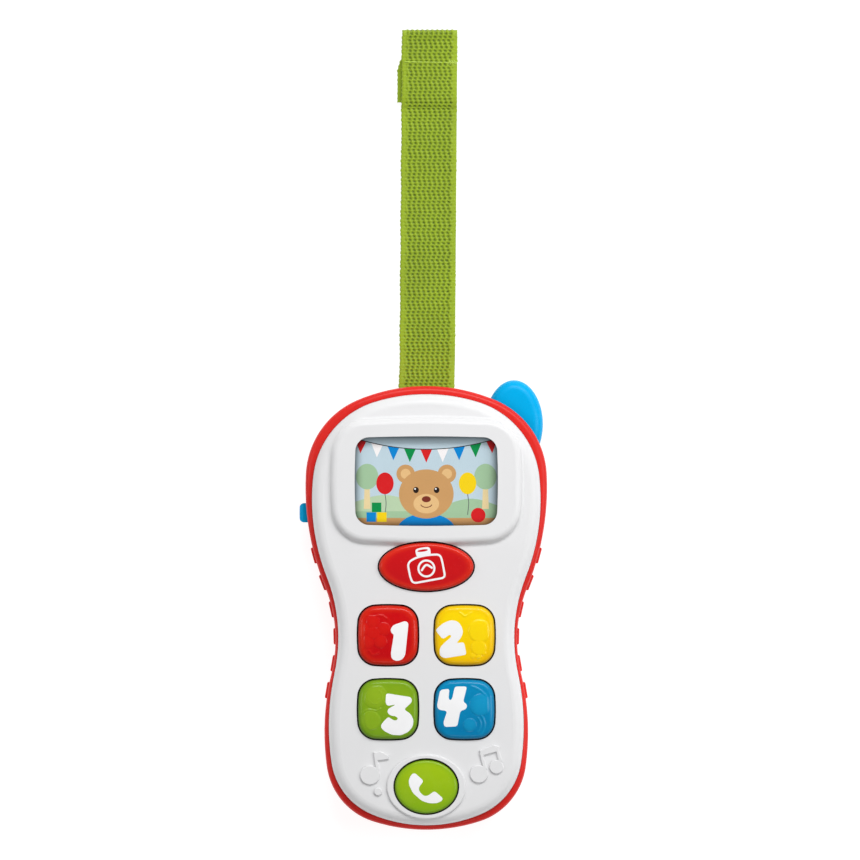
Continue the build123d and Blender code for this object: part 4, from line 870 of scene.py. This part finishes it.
# Bunting: equal flags evenly spaced along a sagging rope
FLAGS, FLAG_W, FLAG_DROP = 9, 4.2, 4.8
for k, middle_x in enumerate(np.linspace(-23.6, 23.6, FLAGS)):
    x0, x1 = middle_x - FLAG_W / 2, middle_x + FLAG_W / 2
    tip = (middle_x, rope_y(middle_x) - FLAG_DROP)
    print_shape(f"flag_{k + 1}", [[(x0, rope_y(x0)), (x1, rope_y(x1)), tip]],
                (INK_RED, INK_WHITE, INK_BLUE, INK_GREEN)[k % 4])
print_shape("flag_rope", [stroke([(x, rope_y(x)) for x in np.linspace(-26.4, 26.4, 25)], 0.3)], ROPE)

# Teddy, facing straight out: ovals about one upright line
HEAD_Y, EAR_X, EAR_UP, EYE_X, EYE_UP = -4.6, 7.4, 7.2, 3.7, 1.4
jersey = [(10.4 * math.cos(a), -EDGE_Y + 6.0 * math.sin(a)) for a in np.linspace(0, math.pi, 25)]
print_shape("jersey", [jersey], INK_BLUE)
for side, name in ((-1, "left"), (1, "right")):
    print_shape(f"ear_{name}", [oval(EAR_X * side, HEAD_Y + EAR_UP, 3.3, 3.3)], FUR)
    print_shape(f"ear_{name}_inner", [oval(EAR_X * side, HEAD_Y + EAR_UP, 1.8, 1.8)], MUZZLE)
print_shape("head", [oval(0.0, HEAD_Y, 9.8, 8.8)], FUR)
print_shape("muzzle", [oval(0.0, HEAD_Y - 3.5, 4.6, 3.5)], MUZZLE)
print_shape("nose", [oval(0.0, HEAD_Y - 1.9, 1.6, 1.1)], NOSE)
for side, name in ((-1, "left"), (1, "right")):
    print_shape(f"eye_{name}", [oval(EYE_X * side, HEAD_Y + EYE_UP, 1.0, 1.1)], EYE)
    print_shape(f"gleam_{name}", [oval(EYE_X * side - 0.3, HEAD_Y + EYE_UP + 0.4, 0.3, 0.3, count=20)], GLEAM)
smile = [(2.0 * math.sin(a), HEAD_Y - 3.6 - 1.2 * math.cos(a)) for a in np.linspace(-1.3, 1.3, 9)]
print_shape("mouth", [stroke(smile, 0.3)], LIPS)

# A balloon each side, a plain ball and three toy blocks
BALLOON_X, BLOCK = 14.8, 3.4
for x, name, colour in ((-BALLOON_X, "left", INK_RED), (BALLOON_X, "right", INK_YELLOW)):
    print_shape(f"string_{name}", [stroke([(x, -4.6), (x + 0.4, -8.0), (x, -12.0)], 0.25)], GREY)
    print_shape(f"balloon_{name}", [oval(x, -0.8, 3.1, 3.9)], colour)
print_shape("ball", [oval(18.6, -12.2, 2.6, 2.6)], INK_RED)
for k, (x, y, colour) in enumerate(((-21.4, -14.6, INK_BLUE), (-17.6, -14.6, INK_YELLOW),
                                    (-19.5, -11.1, INK_GREEN))):
    print_shape(f"block_{k + 1}", [[(x, y), (x + BLOCK, y), (x + BLOCK, y + BLOCK), (x, y + BLOCK)]], colour)

# --- Strap: one length of webbing round its pin, folded and stitched at the top ---------------------
strap_lo, strap_hi = place("strap")
pin_lo, pin_hi = place("strap_pin")
pin_y, pin_z = (pin_lo[1] + pin_hi[1]) / 2, (pin_lo[2] + pin_hi[2]) / 2
LAYER_T = 1.25
GROUND_Y, TAIL_Y = 90.0, 181.6  # where the strap reaches the ground, and where its tail ends
FOLD_Y = strap_hi[1]
STRAP_W = strap_hi[0] - strap_lo[0]
WRAP_R = (pin_hi[2] - pin_lo[2]) / 2 + 0.25 + LAYER_T / 2
COLUMN, ROW = 1.77, 1.24  # from hole to hole in the weave, across and along
PER_COLUMN, PER_ROW = 6, 4  # points of the mesh
HOLE_W, HOLE_L, HOLE_DEPTH = 0.52, 0.40, 0.5
SELVEDGE_W, EDGE_ROUND = 1.9, 0.45
SKIN = 0.16  # room kept for the threads on the outside
fold_c = FOLD_Y - 1.5 * LAYER_T


def near_pin(level):
    """Middle of a layer on its way from the pin down to the ground."""
    drop = (pin_z - LAYER_T) / (GROUND_Y - pin_y)
    return [(y, drop * (GROUND_Y - y) + level) for y in (78.0, 82.0, 86.0)]


def wrap(start, end):
    return [(pin_y + WRAP_R * math.cos(math.radians(a)), pin_z + WRAP_R * math.sin(math.radians(a)))
            for a in np.arange(start, end - 1, -25.0)]


low, high = LAYER_T / 2, LAYER_T * 1.5
ramp_in, ramp_out = TAIL_Y - 4.0, TAIL_Y + 2.0
route = [(fold_c - 0.4, high), (200.0, high), (192.0, high), (ramp_out, high),
         (TAIL_Y - 1.0, (low + high) / 2), (ramp_in, low), (160.0, low), (125.0, low), (96.0, low),
         (GROUND_Y + 1, low + 0.06)]
route += near_pin(low)[::-1] + wrap(-55.0, -305.0) + near_pin(high)
route += [(GROUND_Y + 1, high + 0.06), (96.0, high), (125.0, high), (160.0, high), (ramp_in, high),
          (TAIL_Y - 1.0, high + LAYER_T / 2), (ramp_out, high + LAYER_T), (192.0, high + LAYER_T),
          (200.0, high + LAYER_T), (fold_c, high + LAYER_T)]
route += [(fold_c + LAYER_T * math.cos(math.radians(a)), high + LAYER_T * math.sin(math.radians(a)))
          for a in (60, 30, 0, -30, -60)]
route += [(fold_c, low), (200.0, low), (192.0, low), (TAIL_Y, low)]
line = smooth_line(route, ROW / PER_ROW)
ahead = np.gradient(line, axis=0)
ahead /= np.linalg.norm(ahead, axis=1)[:, None]
outward = np.stack([-ahead[:, 1], ahead[:, 0]], axis=1)
along = np.concatenate([[0], np.cumsum(np.linalg.norm(np.diff(line, axis=0), axis=1))])
strap_length = along[-1]
drift = np.interp(line[:, 0], [72.0, 90.0, 207.0], [0.0, 0.45, 1.3])
tail_share = np.clip((along - (strap_length - (FOLD_Y - TAIL_Y) + 9.0)) / 6.0, 0, 1)
drift = drift - 1.6 * tail_share**2 * (3 - 2 * tail_share)

across = np.arange(-STRAP_W / 2, STRAP_W / 2 + 1e-6, COLUMN / PER_COLUMN)
u = across[None, :] / COLUMN
v = along[:, None] / ROW
row = np.floor(v)
zigzag = np.abs(row % 4 - 2) / 2
sway = np.cumsum(rng.normal(0, 0.012, (len(line), 1)), axis=0) * 0.25
hole_u = u + 0.42 * zigzag + sway + rng.normal(0, 0.02, (len(line), 1))
du = (hole_u - np.round(hole_u)) * COLUMN
dv = (v - row - 0.5) * ROW
hole = np.exp(-(np.hypot(du / HOLE_W, (dv + 0.25 * du) / HOLE_L) ** 2.6))
selvedge = np.clip((np.abs(across) - (STRAP_W / 2 - SELVEDGE_W)) / 0.5, 0, 1)[None, :]
hole = hole * (1 - selvedge)
ridge = 0.5 + 0.5 * np.cos(2 * math.pi * (hole_u + 0.5))
band = 0.5 + 0.5 * np.cos(2 * math.pi * v)
tone = 0.16 * ridge * (1 - selvedge) + 0.08 * band + rng.normal(0, 0.006, hole.shape)
tone += selvedge * 0.10 * np.cos(2 * math.pi * across / 0.62)[None, :] * 0.5
round_off = np.clip((np.abs(across) - (STRAP_W / 2 - EDGE_ROUND)) / EDGE_ROUND, 0, 1)[None, :] ** 2 * 0.32
at_fold = np.exp(-(((along - strap_length + FOLD_Y - TAIL_Y + 2.0) / 2.2) ** 2))[:, None]
lift = LAYER_T / 2 - SKIN - HOLE_DEPTH * hole + tone - round_off + 0.22 * at_fold * (ridge - 0.5)
wavy = 0.15 * np.sin(2 * math.pi * along / 1.65) + 0.07 * np.sin(along * 1.7) + 0.1 * np.sin(along * 0.31)
x = across[None, :] * (1 + wavy[:, None] / (STRAP_W / 2)) + drift[:, None]
outer_y = line[:, 0:1] + outward[:, 0:1] * lift
outer_z = line[:, 1:2] + outward[:, 1:2] * lift
outer_points = np.stack([x, outer_y, outer_z], axis=-1)
inner_across = np.array([STRAP_W / 2 - 0.1, STRAP_W / 2 - 2, 0.0, 2 - STRAP_W / 2, 0.1 - STRAP_W / 2])
inner_lift = np.full(len(inner_across), 0.06 - LAYER_T / 2)
inner_points = np.stack([inner_across[None, :] + drift[:, None] + 0 * along[:, None],
                         line[:, 0:1] + outward[:, 0:1] * inner_lift,
                         line[:, 1:2] + outward[:, 1:2] * inner_lift], axis=-1)
ring_points = np.concatenate([outer_points, inner_points], axis=1)
ring_points[..., 2] = np.maximum(ring_points[..., 2], 0.01)
per_ring = ring_points.shape[1]
points = ring_points.reshape(-1, 3)
faces = strip_faces(per_ring, len(line))
faces.append(list(range(per_ring)))
faces.append(list(range(len(points) - per_ring, len(points)))[::-1])
# painted shade for the holes of the weave: 1 in a hole, 0 on the threads and on the inner face
painted_hole_shade = np.concatenate([hole, np.zeros((len(line), len(inner_across)))], axis=1).ravel()


def webbing_paint(tree, base, coords):
    # painted shade in the holes of the weave
    hole_shaded = mix(tree, attribute(tree, "painted_hole_shade"), base, srgb(42, 66, 10))
    fuzz = remap(tree, noise_value(tree, coords, 900.0, 4.0, 0.7), 0.35, 0.7, 0.0, 0.35)
    return mix(tree, fuzz, hole_shaded, shade(srgb(150, 176, 20), 1.25))


webbing = surface("webbing", srgb(146, 172, 16), 0.62, 0.09, patch=70.0, grain=0.00007, grain_scale=2400.0,
                  paint=webbing_paint, Sheen_Weight=0.1, Sheen_Roughness=0.4)
strap = piece("strap_webbing", points, faces, "strap", "green_webbing", webbing, stands_for=("strap",),
              sharp=70.0, values={"painted_hole_shade": painted_hole_shade})


def thread(runs, radius, count=8):
    """Short stitches: each run is a list of points, and dips into the webbing at both ends."""
    points, faces = [], []
    for run in runs:
        run = np.asarray(run, float)
        ahead = np.gradient(run, axis=0)
        ahead /= np.linalg.norm(ahead, axis=1)[:, None]
        side = np.cross(ahead, (0, 0, 1.0))
        side /= np.linalg.norm(side, axis=1)[:, None]
        up = np.cross(side, ahead)
        a = np.linspace(0, 2 * math.pi, count, endpoint=False)
        rings = [run[i] + radius * (np.cos(a)[:, None] * side[i] + np.sin(a)[:, None] * up[i])
                 for i in range(len(run))]
        p, f = tube_between(rings, run[0], run[-1])
        faces += [[k + len(points) for k in face] for face in f]
        points += list(p)
    return points, faces


STITCH_Y, STITCH_L, STITCH_R = 196.0, 2.1, 0.24
STITCH_X = 1.2  # the strap has drifted this far to the right here
TACKS = 7
stitch_z = 3 * LAYER_T - 0.06
runs = []
for start in np.arange(-9.2, 8.6, STITCH_L + 0.25):
    xs = np.linspace(start, start + STITCH_L, 9)
    dip = 0.42 * np.abs(np.linspace(-1, 1, 9)) ** 4
    runs.append([(x0 + STITCH_X, STITCH_Y - 0.02 * x0 + rng.normal(0, 0.02), stitch_z - d)
                 for x0, d in zip(xs, dip)])
for k in range(TACKS):
    x0, y0 = 6.4 + 0.42 * k, STITCH_Y - 0.8 + 1.7 * (k % 2)
    xs = np.linspace(0, 1, 7)
    runs.append([(x0 + STITCH_X + 1.1 * t, y0 + (1 - 2 * (k % 2)) * 1.3 * t,
                  stitch_z - 0.4 * abs(2 * t - 1) ** 4) for t in xs])
points, faces = thread(runs, STITCH_R)
thread_green = surface("thread_green", srgb(178, 206, 66), 0.55, 0.06, patch=400.0, grain=0.00003,
                       Sheen_Weight=0.3)
piece("strap_stitches", points, faces, "strap", "green_webbing", thread_green)


# --- Clear lens, and materials on the CAD parts ---------------------------------------------------
lens = bpy.data.materials.new("lens_clear")
lens.use_nodes = True
tree = lens.node_tree
gloss = tree.nodes["Principled BSDF"]
gloss.inputs["Base Color"].default_value = (0.012, 0.013, 0.014, 1)
coords = make_node(tree, "ShaderNodeTexCoord").outputs["Object"]
link(tree, remap(tree, noise_value(tree, coords, 300.0), 0.3, 0.7, 0.03, 0.06), gloss.inputs["Roughness"])
clear = make_node(tree, "ShaderNodeBsdfTransparent", {"Color": (0.99, 0.995, 0.995, 1)})
fresnel = make_node(tree, "ShaderNodeFresnel", {"IOR": 1.42})
blend_node = make_node(tree, "ShaderNodeMixShader")
outside = calc(tree, "SUBTRACT", 1.0, make_node(tree, "ShaderNodeNewGeometry").outputs["Backfacing"])
link(tree, calc(tree, "MULTIPLY", fresnel.outputs[0], outside), blend_node.inputs[0])
link(tree, clear.outputs[0], blend_node.inputs[1])
link(tree, gloss.outputs[0], blend_node.inputs[2])
link(tree, blend_node.outputs[0], tree.nodes["Material Output"].inputs["Surface"])

cad_materials = {
    "rear_cover": red_shell, "battery_door": red_shell, "front_cover": white_shell, "screen_lens": lens,
    "screen_diffuser": milky, "light_box": milky, "screen_leds": led, "circuit_board": laminate,
    "sound_chip": epoxy, "board_components": parts_brown, "board_screws": zinc, "case_screws": zinc,
    "slide_switch": tin, "switch_slider": black, "switch_knob": knob_blue, "antenna": antenna_blue,
    "speaker_cloth": cloth, "speaker_frame": tin, "speaker_cone": paper, "speaker_magnet": ferrite,
    "batteries": jacket, "contact_plates": spring, "battery_springs": spring, "door_screw": zinc,
    "screw_retainer": black, "strap_pin": zinc, "battery_wire_red": wire_red,
    "battery_wire_black": wire_black, "speaker_wires": wire_black,
}
for node, material in cad_materials.items():
    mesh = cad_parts[node].data
    mesh.materials.clear()
    mesh.materials.append(material)
